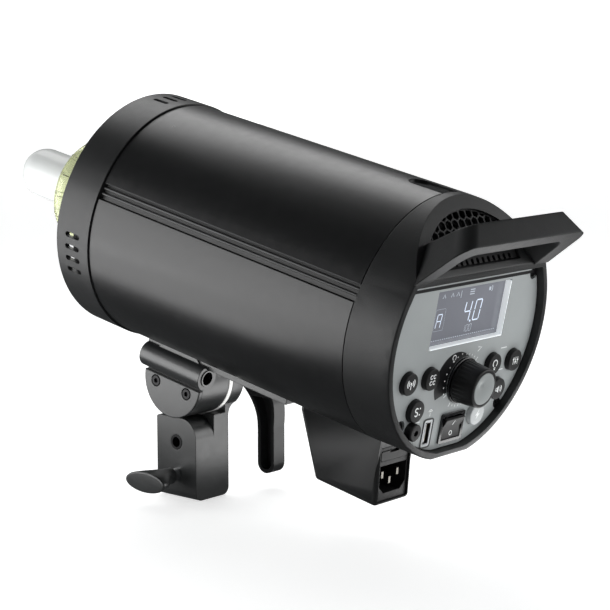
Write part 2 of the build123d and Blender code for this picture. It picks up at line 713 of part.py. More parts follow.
KNOB_FRONT = 228.2
KNOB_REAR = 242.0
with BuildPart() as dial_knob:
    with BuildSketch(facing_rear(KNOB_FRONT)):
        with Locations(DIAL):
            Circle(12.6)
    extrude(amount=KNOB_REAR - KNOB_FRONT, taper=5)
    fillet(dial_knob.faces().sort_by(Axis.Y)[-1].edges(), radius=1.0)
    with BuildSketch(facing_rear(KNOB_REAR - 1.2)):
        with Locations(DIAL):
            Circle(9.3)
    extrude(amount=2, mode=Mode.SUBTRACT)
    with BuildSketch(facing_rear(KNOB_FRONT)):
        with Locations(DIAL):
            Circle(3.0)
    extrude(amount=9, mode=Mode.SUBTRACT)
    with BuildSketch(facing_rear(KNOB_FRONT + 1)):
        with Locations(DIAL):
            with PolarLocations(13.3, 30):
                Circle(1.15)
    extrude(amount=KNOB_REAR - KNOB_FRONT - 4, taper=-3, mode=Mode.SUBTRACT)
finish(dial_knob, "dial_knob")

with BuildPart() as dial_cap:
    with BuildSketch(facing_rear(KNOB_REAR - 1.2)):
        with Locations(DIAL):
            Circle(9.2)
    extrude(amount=1.4)
    fillet(dial_cap.faces().sort_by(Axis.Y)[-1].edges(), radius=0.4)
    with Locations((-DIAL[0] + 3.6, KNOB_REAR + 5.3, DIAL[1] + 2.4)):
        Sphere(5.6, mode=Mode.SUBTRACT)
finish(dial_cap, "dial_cap")

for node, spot in BUTTONS.items():
    with BuildPart() as push_button:
        with BuildSketch(facing_rear(PANEL_BACK - 2.6)):
            with Locations(spot):
                Circle(BUTTON_R + 0.8)
        extrude(amount=1.6)
        with BuildSketch(facing_rear(PANEL_BACK - 2.6)):
            with Locations(spot):
                Circle(BUTTON_R)
        extrude(amount=2.6 + PANEL_THICK + BUTTON_PROUD)
        fillet(push_button.faces().sort_by(Axis.Y)[-1].edges(), radius=0.7)
    finish(push_button, node)

with BuildPart() as power_switch_body:
    with BuildSketch(facing_rear(205)):
        with Locations(ROCKER):
            Rectangle(19.0, 15.2)
    extrude(amount=PANEL_REAR - 205)
    with BuildSketch(facing_rear(PANEL_REAR)):
        with Locations(ROCKER):
            RectangleRounded(21.3, 17.6, 1.2)
    extrude(amount=1.2)
    with BuildSketch(facing_rear(217)):
        with Locations(ROCKER):
            Rectangle(17.6, 13.9)
    extrude(amount=12, mode=Mode.SUBTRACT)
    with BuildSketch(facing_side(-ROCKER[0] - 9.4)):
        with Locations((ROCKER_AXIS_Y, ROCKER[1])):
            Circle(1.2 + RUN_CLEAR)
    extrude(amount=18.8, mode=Mode.SUBTRACT)
    with BuildSketch(facing_rear(199)):
        with Locations((ROCKER[0] - 5, ROCKER[1]), (ROCKER[0] + 5, ROCKER[1])):
            Rectangle(0.8, 6.3)
    extrude(amount=6)
finish(power_switch_body, "power_switch_body")

ROCKER_TILT = 10.0
with BuildPart() as power_rocker:
    with BuildSketch(facing_side(-8.5)):
        Circle(6.6)
        with Locations((6.2 + 1.1, 0)):
            Rectangle(12.4, 20, mode=Mode.INTERSECT)
        with BuildLine():
            Polyline((1.2, 0), (2.9, 7), (12, 7), (12, -7), (2.9, -7), (1.2, 0))
        make_face(mode=Mode.SUBTRACT)
        with Locations((-1.5, 0)):
            Rectangle(5.0, 9.0)
    extrude(amount=17.0)
    with BuildSketch(facing_side(-9.3)):
        Circle(1.2)
    extrude(amount=18.6)
finish(
    power_rocker,
    "power_rocker",
    HEAD_AT_REST
    * Location((-ROCKER[0], ROCKER_AXIS_Y, ROCKER[1]))
    * Location((0, 0, 0), (-ROCKER_TILT, 0, 0)),
)

with BuildPart() as usb_port:
    with BuildSketch(facing_rear(212)):
        with Locations(USB):
            RectangleRounded(5.1, 13.0, 0.5)
    extrude(amount=14.4)
    with BuildSketch(facing_rear(213)):
        with Locations(USB):
            Rectangle(4.4, 12.3)
    extrude(amount=14, mode=Mode.SUBTRACT)
    with BuildSketch(facing_rear(212.5)):
        with Locations((USB[0] - 1.0, USB[1])):
            Rectangle(1.7, 11.0)
    extrude(amount=13)
finish(usb_port, "usb_port")

with BuildPart() as sync_jack:
    with BuildSketch(facing_rear(PANEL_REAR)):
        with Locations(SYNC):
            Circle(5.0)
    extrude(amount=4.6)
    fillet(sync_jack.faces().sort_by(Axis.Y)[-1].edges(), radius=1.0)
    with BuildSketch(facing_rear(214)):
        with Locations(SYNC):
            Circle(3.9)
    extrude(amount=13)
    with BuildSketch(facing_rear(215)):
        with Locations(SYNC):
            Circle(1.78)
    extrude(amount=20, mode=Mode.SUBTRACT)
finish(sync_jack, "sync_jack")

# ---------------------------------------------------------------- power inlet
INLET_HALF = 16.0
INLET_TRIM_R = BODY_R + 0.05
INLET_FACE = Plane(
    origin=(0, 196.7, -93.5), x_dir=(-1, 0, 0), z_dir=(0, cos(radians(6.8)), sin(radians(6.8)))
)
C14_WIDE, C14_HIGH, C14_DEEP = 24.5, 16.5, 14.0
C14_MID = -2.6         # middle of the recess below the middle of the face
DRAWER_MID = 11.4
DRAWER_WIDE, DRAWER_HIGH, DRAWER_DEEP = 23.6, 5.6, 19.0


def trim_to_body(radius):
    """Cut away everything inside a cylinder round the body axis."""
    with Locations(Location((0, 100, 0), (90, 0, 0))):
        Cylinder(radius, 400, mode=Mode.SUBTRACT)


with BuildPart() as inlet_housing:
    with BuildSketch(facing_side(-INLET_HALF)):
        with BuildLine():
            FilletPolyline((133.3, -50), (133.3, -73.8), (152.5, -111), (198.8, -111), (194.6, -76), radius=3)
            Polyline((194.6, -76), (194.6, -50), (133.3, -50))
        make_face()
    extrude(amount=2 * INLET_HALF)
    fillet(inlet_housing.edges().filter_by(Axis.Y).group_by(Axis.Z)[0], radius=3)
    trim_to_body(INLET_TRIM_R)
    with BuildSketch(facing_side(-INLET_HALF + 2.2)):
        with BuildLine():
            Polyline(
                (136.2, -50), (136.2, -73.4), (154.0, -108.0), (162, -108.8), (204, -108.8), (200, -76.4),
                (194, -76.4), (190, -50), (136.2, -50),
            )
        make_face()
    extrude(amount=2 * INLET_HALF - 4.4, mode=Mode.SUBTRACT)
finish(inlet_housing, "inlet_housing")

with BuildPart() as iec_inlet:
    with BuildSketch(facing_side(-INLET_HALF + 2.3)):
        with BuildLine():
            Polyline(
                (171.5, -79.5), (193.2, -77.6), (196.9, -108.6), (174.5, -108.6), (171.5, -79.5),
            )
        make_face()
    extrude(amount=2 * INLET_HALF - 4.6)
    with BuildSketch(INLET_FACE.offset(-1.6 - C14_DEEP)):
        with BuildLine():
            top = C14_MID + C14_HIGH / 2
            foot = C14_MID - C14_HIGH / 2
            half = C14_WIDE / 2
            Polyline(
                (-half, top), (half, top), (half, foot + 4.5), (half - 4.5, foot), (-half + 4.5, foot),
                (-half, foot + 4.5), (-half, top),
            )
        make_face()
    extrude(amount=20, mode=Mode.SUBTRACT)
    with BuildSketch(INLET_FACE.offset(-21.6)):
        with Locations((0, DRAWER_MID)):
            Rectangle(DRAWER_WIDE + 0.6, DRAWER_HIGH + 0.6)
    extrude(amount=24, mode=Mode.SUBTRACT)
    with BuildSketch(INLET_FACE.offset(-26)):
        with Locations((-7, C14_MID + 2), (7, C14_MID + 2), (0, C14_MID - 2)):
            Rectangle(2.1, 4.1)
    extrude(amount=24, mode=Mode.SUBTRACT)
finish(iec_inlet, "iec_inlet")

with BuildPart() as inlet_pins:
    with BuildSketch(INLET_FACE.offset(-28)):
        with Locations((-7, C14_MID + 2), (7, C14_MID + 2), (0, C14_MID - 2)):
            Rectangle(2.0, 4.0)
    extrude(amount=24.5)
finish(inlet_pins, "inlet_pins")

with BuildPart() as fuse_drawer:
    with BuildSketch(INLET_FACE.offset(-1.2 - DRAWER_DEEP)):
        with Locations((0, DRAWER_MID)):
            RectangleRounded(DRAWER_WIDE, DRAWER_HIGH, 0.8)
    extrude(amount=DRAWER_DEEP)
    with BuildSketch(INLET_FACE.offset(-3.2)):
        with Locations((0, DRAWER_MID + 2.4)):
            Rectangle(8, 1.6)
    extrude(amount=4, mode=Mode.SUBTRACT)
finish(fuse_drawer, "fuse_drawer")

# ---------------------------------------------------------------- fan, boards and capacitors
FAN_Z = 28.0
FAN_FRONT = 188.0
FAN_DEPTH = 15.0
FAN_BORE_R = 28.5
TRAY_Z = -41.0
TRAY_THICK = 1.6
POST_SPOTS = ((-46, 20), (46, 20), (-46, 168), (46, 168))
BOARD_Z = 11.2
CAN_R = 17.5
CAN_X = (-38.0, 0.0, 38.0)

with BuildPart() as fan_frame:
    with BuildSketch(facing_rear(FAN_FRONT)):
        with Locations((0, FAN_Z)):
            RectangleRounded(60, 60, 3)
            Circle(FAN_BORE_R, mode=Mode.SUBTRACT)
            with GridLocations(50, 50, 2, 2):
                Circle(2.1, mode=Mode.SUBTRACT)
    extrude(amount=FAN_DEPTH)
    with BuildSketch(facing_rear(FAN_FRONT)):
        with Locations((0, FAN_Z)):
            Circle(12)
            with PolarLocations(20.5, 4):
                Rectangle(18, 3)
    extrude(amount=1.8)
    with BuildSketch(facing_rear(FAN_FRONT + 0.5)):
        with Locations((0, FAN_Z)):
            Circle(2.0 + RUN_CLEAR)
    extrude(amount=4, mode=Mode.SUBTRACT)
finish(fan_frame, "fan_frame")

with BuildPart() as fan_rotor:
    with BuildSketch(facing_rear(FAN_FRONT + 2.4)):
        with Locations((0, FAN_Z)):
            Circle(13.5)
    extrude(amount=11.6)
    with BuildSketch(facing_rear(FAN_FRONT + 0.6)):
        with Locations((0, FAN_Z)):
            Circle(2.0)
    extrude(amount=4)
    with Locations(Location((0, FAN_FRONT + 8.2, FAN_Z), (-90, 0, 0))):
        with PolarLocations(20, 7):
            Box(14.4, 1.3, 12.0, rotation=(38, 0, 0))
finish(fan_rotor, "fan_rotor")

with BuildPart() as inner_chassis:
    with Locations((0, 105, TRAY_Z + TRAY_THICK / 2)):
        Box(112, 176, TRAY_THICK)
    with Locations(*((post_x, post_y, TRAY_Z) for post_x, post_y in POST_SPOTS)):
        Cylinder(2.5, BOARD_Z - TRAY_Z, align=(Align.CENTER, Align.CENTER, Align.MIN))
    with BuildSketch(facing_rear(FAN_FRONT - TRAY_THICK)):
        with Locations((0, (TRAY_Z + FAN_Z + 30) / 2)):
            Rectangle(62, FAN_Z + 30 - TRAY_Z)
        with Locations((0, FAN_Z)):
            Circle(FAN_BORE_R - 0.5, mode=Mode.SUBTRACT)
    extrude(amount=TRAY_THICK)
finish(inner_chassis, "inner_chassis")

with BuildPart() as capacitor_bank:
    with BuildSketch(facing_rear(25)):
        with Locations(*((can_x, TRAY_Z + TRAY_THICK + CAN_R) for can_x in CAN_X)):
            Circle(CAN_R)
    extrude(amount=100)
    fillet(capacitor_bank.faces().sort_by(Axis.Y)[-3:].edges(), radius=2)
    with BuildSketch(facing_rear(18)):
        with Locations(*((can_x, TRAY_Z + TRAY_THICK + CAN_R) for can_x in CAN_X)):
            with Locations((-4, 0), (4, 0)):
                Circle(1.4)
    extrude(amount=8)
finish(capacitor_bank, "capacitor_bank")

with BuildPart() as power_board:
    with Locations((0, 95, BOARD_Z + 0.8)):
        Box(100, 160, 1.6)
    for part_y, size in ((50, (44, 34, 26)), (100, (38, 40, 30)), (146, (52, 30, 24))):
        with Locations((0, part_y, BOARD_Z + 1.6)):
            Box(*size, align=(Align.CENTER, Align.CENTER, Align.MIN))
finish(power_board, "power_board")

# ---------------------------------------------------------------- tilting bracket on the body
DRUM_LEFT = -8.4
DRUM_RIGHT = 15.2
BRACKET_TRIM_R = BODY_R + 0.1
RAIL_HALF = 14.0
RAIL_FOOT = -76.0
UMBRELLA_X = 13.0
UMBRELLA_Z = -81.8
UMBRELLA_FRONT = 5.5
UMBRELLA_LENGTH = 51.0
AXLE_R = 4.0
AXLE_HEAD_R = 5.5
AXLE_HEAD = (4.5, 7.5)  # the knurled head is moulded into the drum between these
AXLE_END = -39.8
PLATE_SCREWS = ((-13.2, -4.7), (13.2, -4.7))

with BuildPart() as tilt_bracket:
    with BuildSketch(facing_side(-RAIL_HALF)):
        with Locations((63, RAIL_FOOT + 8)):
            Rectangle(116, 16)
    extrude(amount=2 * RAIL_HALF)
    with BuildSketch(facing_side(-RAIL_HALF - 1)):
        with Locations((PIVOT_Y, PIVOT_Z)):
            Circle(DRUM_R + 0.9)
    extrude(amount=DRUM_LEFT + RAIL_HALF + 1, mode=Mode.SUBTRACT)
    with BuildSketch(facing_side(DRUM_LEFT)):
        with Locations((PIVOT_Y, PIVOT_Z)):
            Circle(DRUM_R)
    extrude(amount=DRUM_RIGHT - DRUM_LEFT)
    with BuildSketch(facing_rear(UMBRELLA_FRONT)):
        with Locations((-UMBRELLA_X, UMBRELLA_Z)):
            Circle(8)
    extrude(amount=UMBRELLA_LENGTH)
    trim_to_body(BRACKET_TRIM_R)
    with BuildSketch(facing_rear(UMBRELLA_FRONT)):
        with Locations((-UMBRELLA_X, UMBRELLA_Z)):
            Circle(5.2)
    extrude(amount=UMBRELLA_LENGTH, mode=Mode.SUBTRACT)
    with BuildSketch(facing_side(DRUM_LEFT)):
        with Locations((PIVOT_Y, PIVOT_Z)):
            Circle(AXLE_R)
    extrude(amount=AXLE_HEAD[0] - DRUM_LEFT, mode=Mode.SUBTRACT)
    with BuildSketch(facing_side(AXLE_HEAD[0])):
        with Locations((PIVOT_Y, PIVOT_Z)):
            Circle(AXLE_HEAD_R)
    extrude(amount=AXLE_HEAD[1] - AXLE_HEAD[0], mode=Mode.SUBTRACT)
    with BuildSketch(facing_side(6)):
        with Locations((PIVOT_Y, PIVOT_Z)):
            with Locations(*PLATE_SCREWS):
                Circle(1.5)
    extrude(amount=10, mode=Mode.SUBTRACT)
finish(tilt_bracket, "tilt_bracket")

with BuildPart() as umbrella_sleeve:
    with BuildSketch(facing_rear(UMBRELLA_FRONT)):
        with Locations((-UMBRELLA_X, UMBRELLA_Z)):
            Circle(5.15)
            Circle(4.15, mode=Mode.SUBTRACT)
    extrude(amount=UMBRELLA_LENGTH + 0.6)
finish(umbrella_sleeve, "umbrella_sleeve")

with BuildPart() as side_plate:
    with BuildSketch(facing_side(DRUM_RIGHT + 0.05)):
        with Locations((PIVOT_Y, PIVOT_Z)):
            Circle(DRUM_R)
            with Locations((0, DRUM_R)):
                Rectangle(2 * DRUM_R, 2 * DRUM_R + 0.2, mode=Mode.SUBTRACT)
            with Locations(*PLATE_SCREWS):
                Circle(1.6, mode=Mode.SUBTRACT)
    extrude(amount=2.8)
    chamfer(side_plate.faces().sort_by(Axis.X)[-1].outer_wire().edges(), length=0.5)
    with BuildSketch(facing_side(DRUM_RIGHT + 0.9)):
        with Locations((PIVOT_Y, PIVOT_Z)):
            with Locations(*PLATE_SCREWS):
                Circle(3.8)
    extrude(amount=3, mode=Mode.SUBTRACT)
finish(side_plate, "side_plate")

with BuildPart() as side_plate_screws:
    with BuildSketch(facing_side(DRUM_RIGHT + 0.95)):
        with Locations((PIVOT_Y, PIVOT_Z)):
            with Locations(*PLATE_SCREWS):
                Circle(3.1)
    extrude(amount=2.0)
    with BuildSketch(facing_side(7)):
        with Locations((PIVOT_Y, PIVOT_Z)):
            with Locations(*PLATE_SCREWS):
                Circle(1.45)
    extrude(amount=10)
    with BuildSketch(facing_side(16.7)):
        with Locations((PIVOT_Y, PIVOT_Z)):
            with Locations(*PLATE_SCREWS):
                RegularPolygon(1.6, 6)
    extrude(amount=2, mode=Mode.SUBTRACT)
finish(side_plate_screws, "side_plate_screws")

with BuildPart() as friction_disc:
    with BuildSketch(facing_side(-11.5)):
        with Locations((PIVOT_Y, PIVOT_Z)):
            Circle(24)
            Circle(AXLE_R + RUN_CLEAR, mode=Mode.SUBTRACT)
    extrude(amount=3.05)
    trim_to_body(BODY_R + 0.2)
finish(friction_disc, "friction_disc")

# ---------------------------------------------------------------- stand block (finished frame)
BLOCK_HALF_X = 14.7
BLOCK_HALF_Y = 16.65
RIGHT_TOP = 51.0
LEFT_TOP = 52.3
STEP_X = -1.5
EAR_LEFT = -22.5
EAR_RIGHT = -11.8
EAR_FOOT = 50.0        # the ear flares out from the block's left side above this height
EAR_BLEND = -EAR_LEFT - BLOCK_HALF_X
CLAMP_Z = 15.0
INSERT_Z = 35.5
SOCKET_DEPTH = 38.0
CLAMP_SCREW_R = 3.9
CLAMP_PAD_TIP = 8.3    # the pad rests just outside the socket

with BuildPart() as stand_block:
    with BuildSketch(facing_side(STEP_X)):
        with BuildLine():
            FilletPolyline(
                (-BLOCK_HALF_Y, 0), (-BLOCK_HALF_Y, RIGHT_TOP), (BLOCK_HALF_Y, RIGHT_TOP), (BLOCK_HALF_Y, 0),
                radius=(1.5, 12.5),
            )
            Line((BLOCK_HALF_Y, 0), (-BLOCK_HALF_Y, 0))
        make_face()
    extrude(amount=BLOCK_HALF_X - STEP_X)
    with BuildSketch(facing_side(-BLOCK_HALF_X)):
        with Locations((0, LEFT_TOP / 2)):
            Rectangle(2 * BLOCK_HALF_Y, LEFT_TOP)
    extrude(amount=BLOCK_HALF_X + STEP_X)
    fillet(stand_block.edges().filter_by(Axis.Y).group_by(Axis.Z)[0], radius=5)
    with BuildSketch(facing_side(EAR_LEFT)):
        with Locations((0, PIVOT_HEIGHT)):
            Circle(24)
            with Locations((0, 27)):
                Rectangle(60, 58, mode=Mode.SUBTRACT)
            Circle(17)
            with Locations((0, -27)):
                Rectangle(2 * BLOCK_HALF_Y, 30)
    extrude(amount=EAR_RIGHT - EAR_LEFT)
    chamfer(stand_block.faces().sort_by(Axis.X)[0].outer_wire().edges(), length=0.8)
    with BuildSketch(Plane.XZ.offset(-30)):
        with BuildLine():
            Line((-BLOCK_HALF_X, 20), (-BLOCK_HALF_X, EAR_FOOT))
            RadiusArc((-BLOCK_HALF_X, EAR_FOOT), (EAR_LEFT, EAR_FOOT + EAR_BLEND), -EAR_BLEND)
            Line((EAR_LEFT, EAR_FOOT + EAR_BLEND), (EAR_LEFT - 8, EAR_FOOT + EAR_BLEND))
            Line((EAR_LEFT - 8, EAR_FOOT + EAR_BLEND), (EAR_LEFT - 8, 20))
            Line((EAR_LEFT - 8, 20), (-BLOCK_HALF_X, 20))
        make_face()
    extrude(amount=60, mode=Mode.SUBTRACT)
    with BuildSketch(facing_side(EAR_RIGHT)):
        with Locations((0, PIVOT_HEIGHT)):
            Circle(DRUM_R + 0.9)
    extrude(amount=STEP_X - EAR_RIGHT, mode=Mode.SUBTRACT)
    with BuildSketch(facing_side(EAR_LEFT)):
        with Locations((0, PIVOT_HEIGHT)):
            Circle(AXLE_R + RUN_CLEAR)
    extrude(amount=EAR_RIGHT - EAR_LEFT, mode=Mode.SUBTRACT)
    Cylinder(SPIGOT_R, SOCKET_DEPTH, align=(Align.CENTER, Align.CENTER, Align.MIN), mode=Mode.SUBTRACT)
    with BuildSketch(facing_side(0)):
        with Locations((0, CLAMP_Z)):
            Circle(CLAMP_SCREW_R + RUN_CLEAR)
    extrude(amount=BLOCK_HALF_X, mode=Mode.SUBTRACT)
    with BuildSketch(facing_side(BLOCK_HALF_X - 6.0)):
        with Locations((0, INSERT_Z)):
            Circle(4.8)
    extrude(amount=6.0, mode=Mode.SUBTRACT)
finish(stand_block, "stand_block", AS_DRAWN)

with BuildPart() as thread_insert:
    with BuildSketch(facing_side(BLOCK_HALF_X - 6.0)):
        with Locations((0, INSERT_Z)):
            Circle(4.75)
            Circle(3.175, mode=Mode.SUBTRACT)
    extrude(amount=6.2)
finish(thread_insert, "thread_insert", AS_DRAWN)

with BuildPart() as axle_bolt:
    with BuildSketch(facing_side(AXLE_HEAD[0])):
        with Locations((PIVOT_Y, PIVOT_Z)):
            Circle(AXLE_HEAD_R)
    extrude(amount=AXLE_HEAD[1] - AXLE_HEAD[0])
    with BuildSketch(facing_side(AXLE_END)):
        with Locations((PIVOT_Y, PIVOT_Z)):
            Circle(AXLE_R)
    extrude(amount=AXLE_HEAD[0] - AXLE_END)
finish(axle_bolt, "axle_bolt")

# ---------------------------------------------------------------- tilt lock lever
HUB_R = 11.0
HUB_RIGHT = -22.9
HUB_LEFT = -41.0
ARM_THICK = 10.3
ARM_WALL = 2.4
ARM_FOOT = -41.0       # face of the arm's straight lower part


def cranked_arm(inset, face_shift, back_shift):
    """Lever arm between two cranked faces, shrunk by an inset when seen from the side."""
    face = ARM_FOOT + face_shift
    back = ARM_FOOT - back_shift
    with BuildPart() as arm:
        with BuildSketch(facing_side(-55)):
            with BuildLine():
                ThreePointArc((0, 85.4), (24, 76), (33.6, 56))
                ThreePointArc((33.6, 56), (32.6, 48), (31.3, 40))
                Line((31.3, 40), (31.3, 16))
                ThreePointArc((31.3, 16), (24.5, 9.2), (17.7, 16))
                Line((17.7, 16), (17.7, 40))
                ThreePointArc((17.7, 40), (15.9, 53.5), (10.5, 65.2))
                Line((10.5, 65.2), (0, 65.2))
                Line((0, 65.2), (0, 85.4))
            make_face()
            if inset:
                offset(amount=-inset)
                with Locations((0, 30)):
                    Rectangle(90, 58, mode=Mode.INTERSECT)
        extrude(amount=32)
        with BuildSketch(Plane.XZ.offset(-60)):
            with BuildLine():
                Line((face + 9.5, 90), (face + 6.5, 66))
                ThreePointArc((face + 6.5, 66), (face + 1.57, 51), (face, 36))
                Line((face, 36), (face, 5))
                Line((face, 5), (back, 5))
                Line((back, 5), (back, 36))
                ThreePointArc((back, 36), (back + 1.57, 51), (back + 6.5, 66))
                Line((back + 6.5, 66), (back + 9.5, 90))
                Line((back + 9.5, 90), (face + 9.5, 90))
            make_face()
        extrude(amount=120, mode=Mode.INTERSECT)
    return arm.part


arm_solid = cranked_arm(0, 0, ARM_THICK)
arm_hollow = cranked_arm(ARM_WALL, 3, ARM_THICK - 3.2)

with BuildPart() as tilt_lever:
    add(arm_solid)
    with BuildSketch(facing_side(HUB_LEFT)):
        with Locations((0, PIVOT_HEIGHT)):
            Circle(HUB_R)
    extrude(amount=HUB_RIGHT - HUB_LEFT)
    add(arm_hollow, mode=Mode.SUBTRACT)
    with BuildSketch(facing_side(HUB_LEFT + 1)):
        with Locations((0, PIVOT_HEIGHT)):
            Circle(AXLE_R + RUN_CLEAR)
    extrude(amount=HUB_RIGHT - HUB_LEFT, mode=Mode.SUBTRACT)
finish(tilt_lever, "tilt_lever", AS_DRAWN)

# ---------------------------------------------------------------- clamp for the stand spigot
with BuildPart() as clamp_pad:
    with BuildSketch(facing_side(CLAMP_PAD_TIP)):
        with Locations((0, CLAMP_Z)):
            Circle(3.0)
    extrude(amount=1.8)
finish(clamp_pad, "clamp_pad", AS_DRAWN)

with BuildPart() as clamp_screw:
    with BuildSketch(facing_side(CLAMP_PAD_TIP + 1.85)):
        with Locations((0, CLAMP_Z)):
            Circle(CLAMP_SCREW_R)
    extrude(amount=18)
finish(clamp_screw, "clamp_screw", AS_DRAWN)

WING_STATIONS = ((19.6, 5.0, 5.0), (23.0, 5.4, 5.2), (32.0, 11.5, 5.8), (43.0, 16.5, 6.5))
with BuildPart() as clamp_wing:
    for station, half_wide, half_high in WING_STATIONS:
        with BuildSketch(facing_side(station)):
            with Locations((0, CLAMP_Z)):
                Ellipse(half_wide, half_high)
    loft()
    fillet(clamp_wing.faces().sort_by(Axis.X)[-1].edges(), radius=1.0)
    with BuildSketch(facing_side(WING_STATIONS[0][0])):
        with Locations((0, CLAMP_Z)):
            Circle(CLAMP_SCREW_R)
    extrude(amount=CLAMP_PAD_TIP + 1.85 + 18 - WING_STATIONS[0][0], mode=Mode.SUBTRACT)
finish(clamp_wing, "clamp_wing", AS_DRAWN)
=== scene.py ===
"""Monolight strobe on its tilting bracket: materials, printed marks, a painted shadow of the dial knob,
small details, light and camera.
"""

import json
from math import atan2, cos, pi, radians, sin

import bmesh
import bpy
from mathutils import Matrix, Vector


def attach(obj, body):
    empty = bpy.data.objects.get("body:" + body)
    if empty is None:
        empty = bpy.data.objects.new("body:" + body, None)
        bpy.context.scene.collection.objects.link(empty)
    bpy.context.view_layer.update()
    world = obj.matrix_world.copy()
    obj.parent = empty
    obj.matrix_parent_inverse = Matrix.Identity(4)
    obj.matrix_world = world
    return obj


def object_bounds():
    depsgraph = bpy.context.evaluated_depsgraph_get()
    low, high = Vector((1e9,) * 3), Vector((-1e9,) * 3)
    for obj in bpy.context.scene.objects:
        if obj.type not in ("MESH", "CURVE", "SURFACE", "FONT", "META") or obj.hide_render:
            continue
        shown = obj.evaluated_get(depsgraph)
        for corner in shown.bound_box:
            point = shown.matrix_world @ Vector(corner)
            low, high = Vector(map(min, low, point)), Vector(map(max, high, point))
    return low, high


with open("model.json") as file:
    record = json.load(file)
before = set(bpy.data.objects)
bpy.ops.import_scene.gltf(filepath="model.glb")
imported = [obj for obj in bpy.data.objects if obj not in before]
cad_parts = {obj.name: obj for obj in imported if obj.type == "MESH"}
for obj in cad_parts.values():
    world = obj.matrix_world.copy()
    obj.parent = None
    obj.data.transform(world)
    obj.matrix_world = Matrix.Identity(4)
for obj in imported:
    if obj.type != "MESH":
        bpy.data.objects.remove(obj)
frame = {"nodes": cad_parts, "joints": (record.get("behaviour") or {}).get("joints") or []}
cad_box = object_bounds()
nodes = frame["nodes"]
joints = {joint["name"]: joint for joint in frame["joints"]}

# ---------------------------------------------------------------- the head's own frame
HEAD_AXIS = Vector(joints["dial_turn"]["axis"]).normalized()
HEAD_UP = Vector((0, -HEAD_AXIS.z, HEAD_AXIS.y))
PIVOT = Vector(joints["head_tilt"]["pos_m"])
PIVOT_IN_HEAD = Vector((0, 0.0328, -0.0902))
PANEL_Y = 226.2        # visible face of the control panel, along the head
DIAL = (5.0, -27.0)    # places on the panel are in millimetres, as the operator sees them


def head_point(x, y, z):
    """A point of the level head, in millimetres, brought to its rest place."""
    local = Vector((x, y, z)) / 1000 - PIVOT_IN_HEAD
    return PIVOT + Vector((local.x, 0, 0)) + HEAD_AXIS * local.y + HEAD_UP * local.z


class Plane:
    """A plane for flat details: u to the right, v up and h out of it, all in millimetres."""

    def __init__(self, origin, u_axis, v_axis):
        self.origin = Vector(origin)
        self.u_axis = Vector(u_axis).normalized()
        self.v_axis = Vector(v_axis).normalized()
        self.h_axis = self.u_axis.cross(self.v_axis)

    def at(self, u, v, h=0.0):
        return self.origin + (self.u_axis * u + self.v_axis * v + self.h_axis * h) / 1000


def panel_plane(y):
    """Plane across the head at a station, facing the operator."""
    return Plane(head_point(0, y, 0), (-1, 0, 0), HEAD_UP)


# ---------------------------------------------------------------- materials
def new_material(name, color, roughness, metallic=0.0, **extra):
    """Principled material; extra names sockets of the shader by their labels."""
    material = bpy.data.materials.new(name)
    material.use_nodes = True
    shader = material.node_tree.nodes["Principled BSDF"]
    shader.inputs["Base Color"].default_value = (*color, 1)
    shader.inputs["Roughness"].default_value = roughness
    shader.inputs["Metallic"].default_value = metallic
    for label, value in extra.items():
        shader.inputs[label.replace("_", " ")].default_value = value
    material.diffuse_color = (*color, 1)
    return material


def add_node(material, kind, **inputs):
    node = material.node_tree.nodes.new(kind)
    for label, value in inputs.items():
        node.inputs[label.replace("_", " ")].default_value = value
    return node


def link(material, source, target):
    material.node_tree.links.new(source, target)


def noise(material, scale, detail=4.0, stretch=(1, 1, 1), roughness=0.55):
    """Noise over object space, stretched where the grain runs one way."""
    coordinates = add_node(material, "ShaderNodeTexCoord")
    mapping = add_node(material, "ShaderNodeMapping", Scale=stretch)
    texture = add_node(material, "ShaderNodeTexNoise", Scale=scale, Detail=detail, Roughness=roughness)
    link(material, coordinates.outputs["Object"], mapping.inputs["Vector"])
    link(material, mapping.outputs["Vector"], texture.inputs["Vector"])
    return texture


def ramp(material, source, low, high, low_color, high_color):
    """Colour ramp between two colours over part of a factor's range."""
    node = add_node(material, "ShaderNodeValToRGB")
    node.color_ramp.elements[0].position = low
    node.color_ramp.elements[0].color = (*low_color, 1)
    node.color_ramp.elements[1].position = high
    node.color_ramp.elements[1].color = (*high_color, 1)
    link(material, source, node.inputs["Fac"])
    return node


def vary(material, color, spread=0.12, scale=35, rough=None, rough_spread=0.06):
    """Slight, large-scale change of colour and roughness, as real surfaces have."""
    shader = material.node_tree.nodes["Principled BSDF"]
    texture = noise(material, scale)
    dark = [channel * (1 - spread) for channel in color]
    light = [min(1, channel * (1 + spread)) for channel in color]
    colors = ramp(material, texture.outputs["Fac"], 0.35, 0.68, dark, light)
    link(material, colors.outputs["Color"], shader.inputs["Base Color"])
    if rough is not None:
        spot = noise(material, scale * 6, detail=6)
        spread_node = add_node(material, "ShaderNodeMapRange")
        spread_node.inputs["To Min"].default_value = rough - rough_spread
        spread_node.inputs["To Max"].default_value = rough + rough_spread
        link(material, spot.outputs["Fac"], spread_node.inputs["Value"])
        link(material, spread_node.outputs["Result"], shader.inputs["Roughness"])


def grain(material, scale, strength, distance=0.00012, stretch=(1, 1, 1), edge=0.0):
    """Fine bump, on softened edges where an edge radius is given."""
    shader = material.node_tree.nodes["Principled BSDF"]
    texture = noise(material, scale, detail=3, stretch=stretch, roughness=0.5)
    bump = add_node(material, "ShaderNodeBump", Strength=strength, Distance=distance)
    link(material, texture.outputs["Fac"], bump.inputs["Height"])
    if edge:
        bevel = add_node(material, "ShaderNodeBevel", Radius=edge)
        bevel.samples = 4
        link(material, bevel.outputs["Normal"], bump.inputs["Normal"])
    link(material, bump.outputs["Normal"], shader.inputs["Normal"])


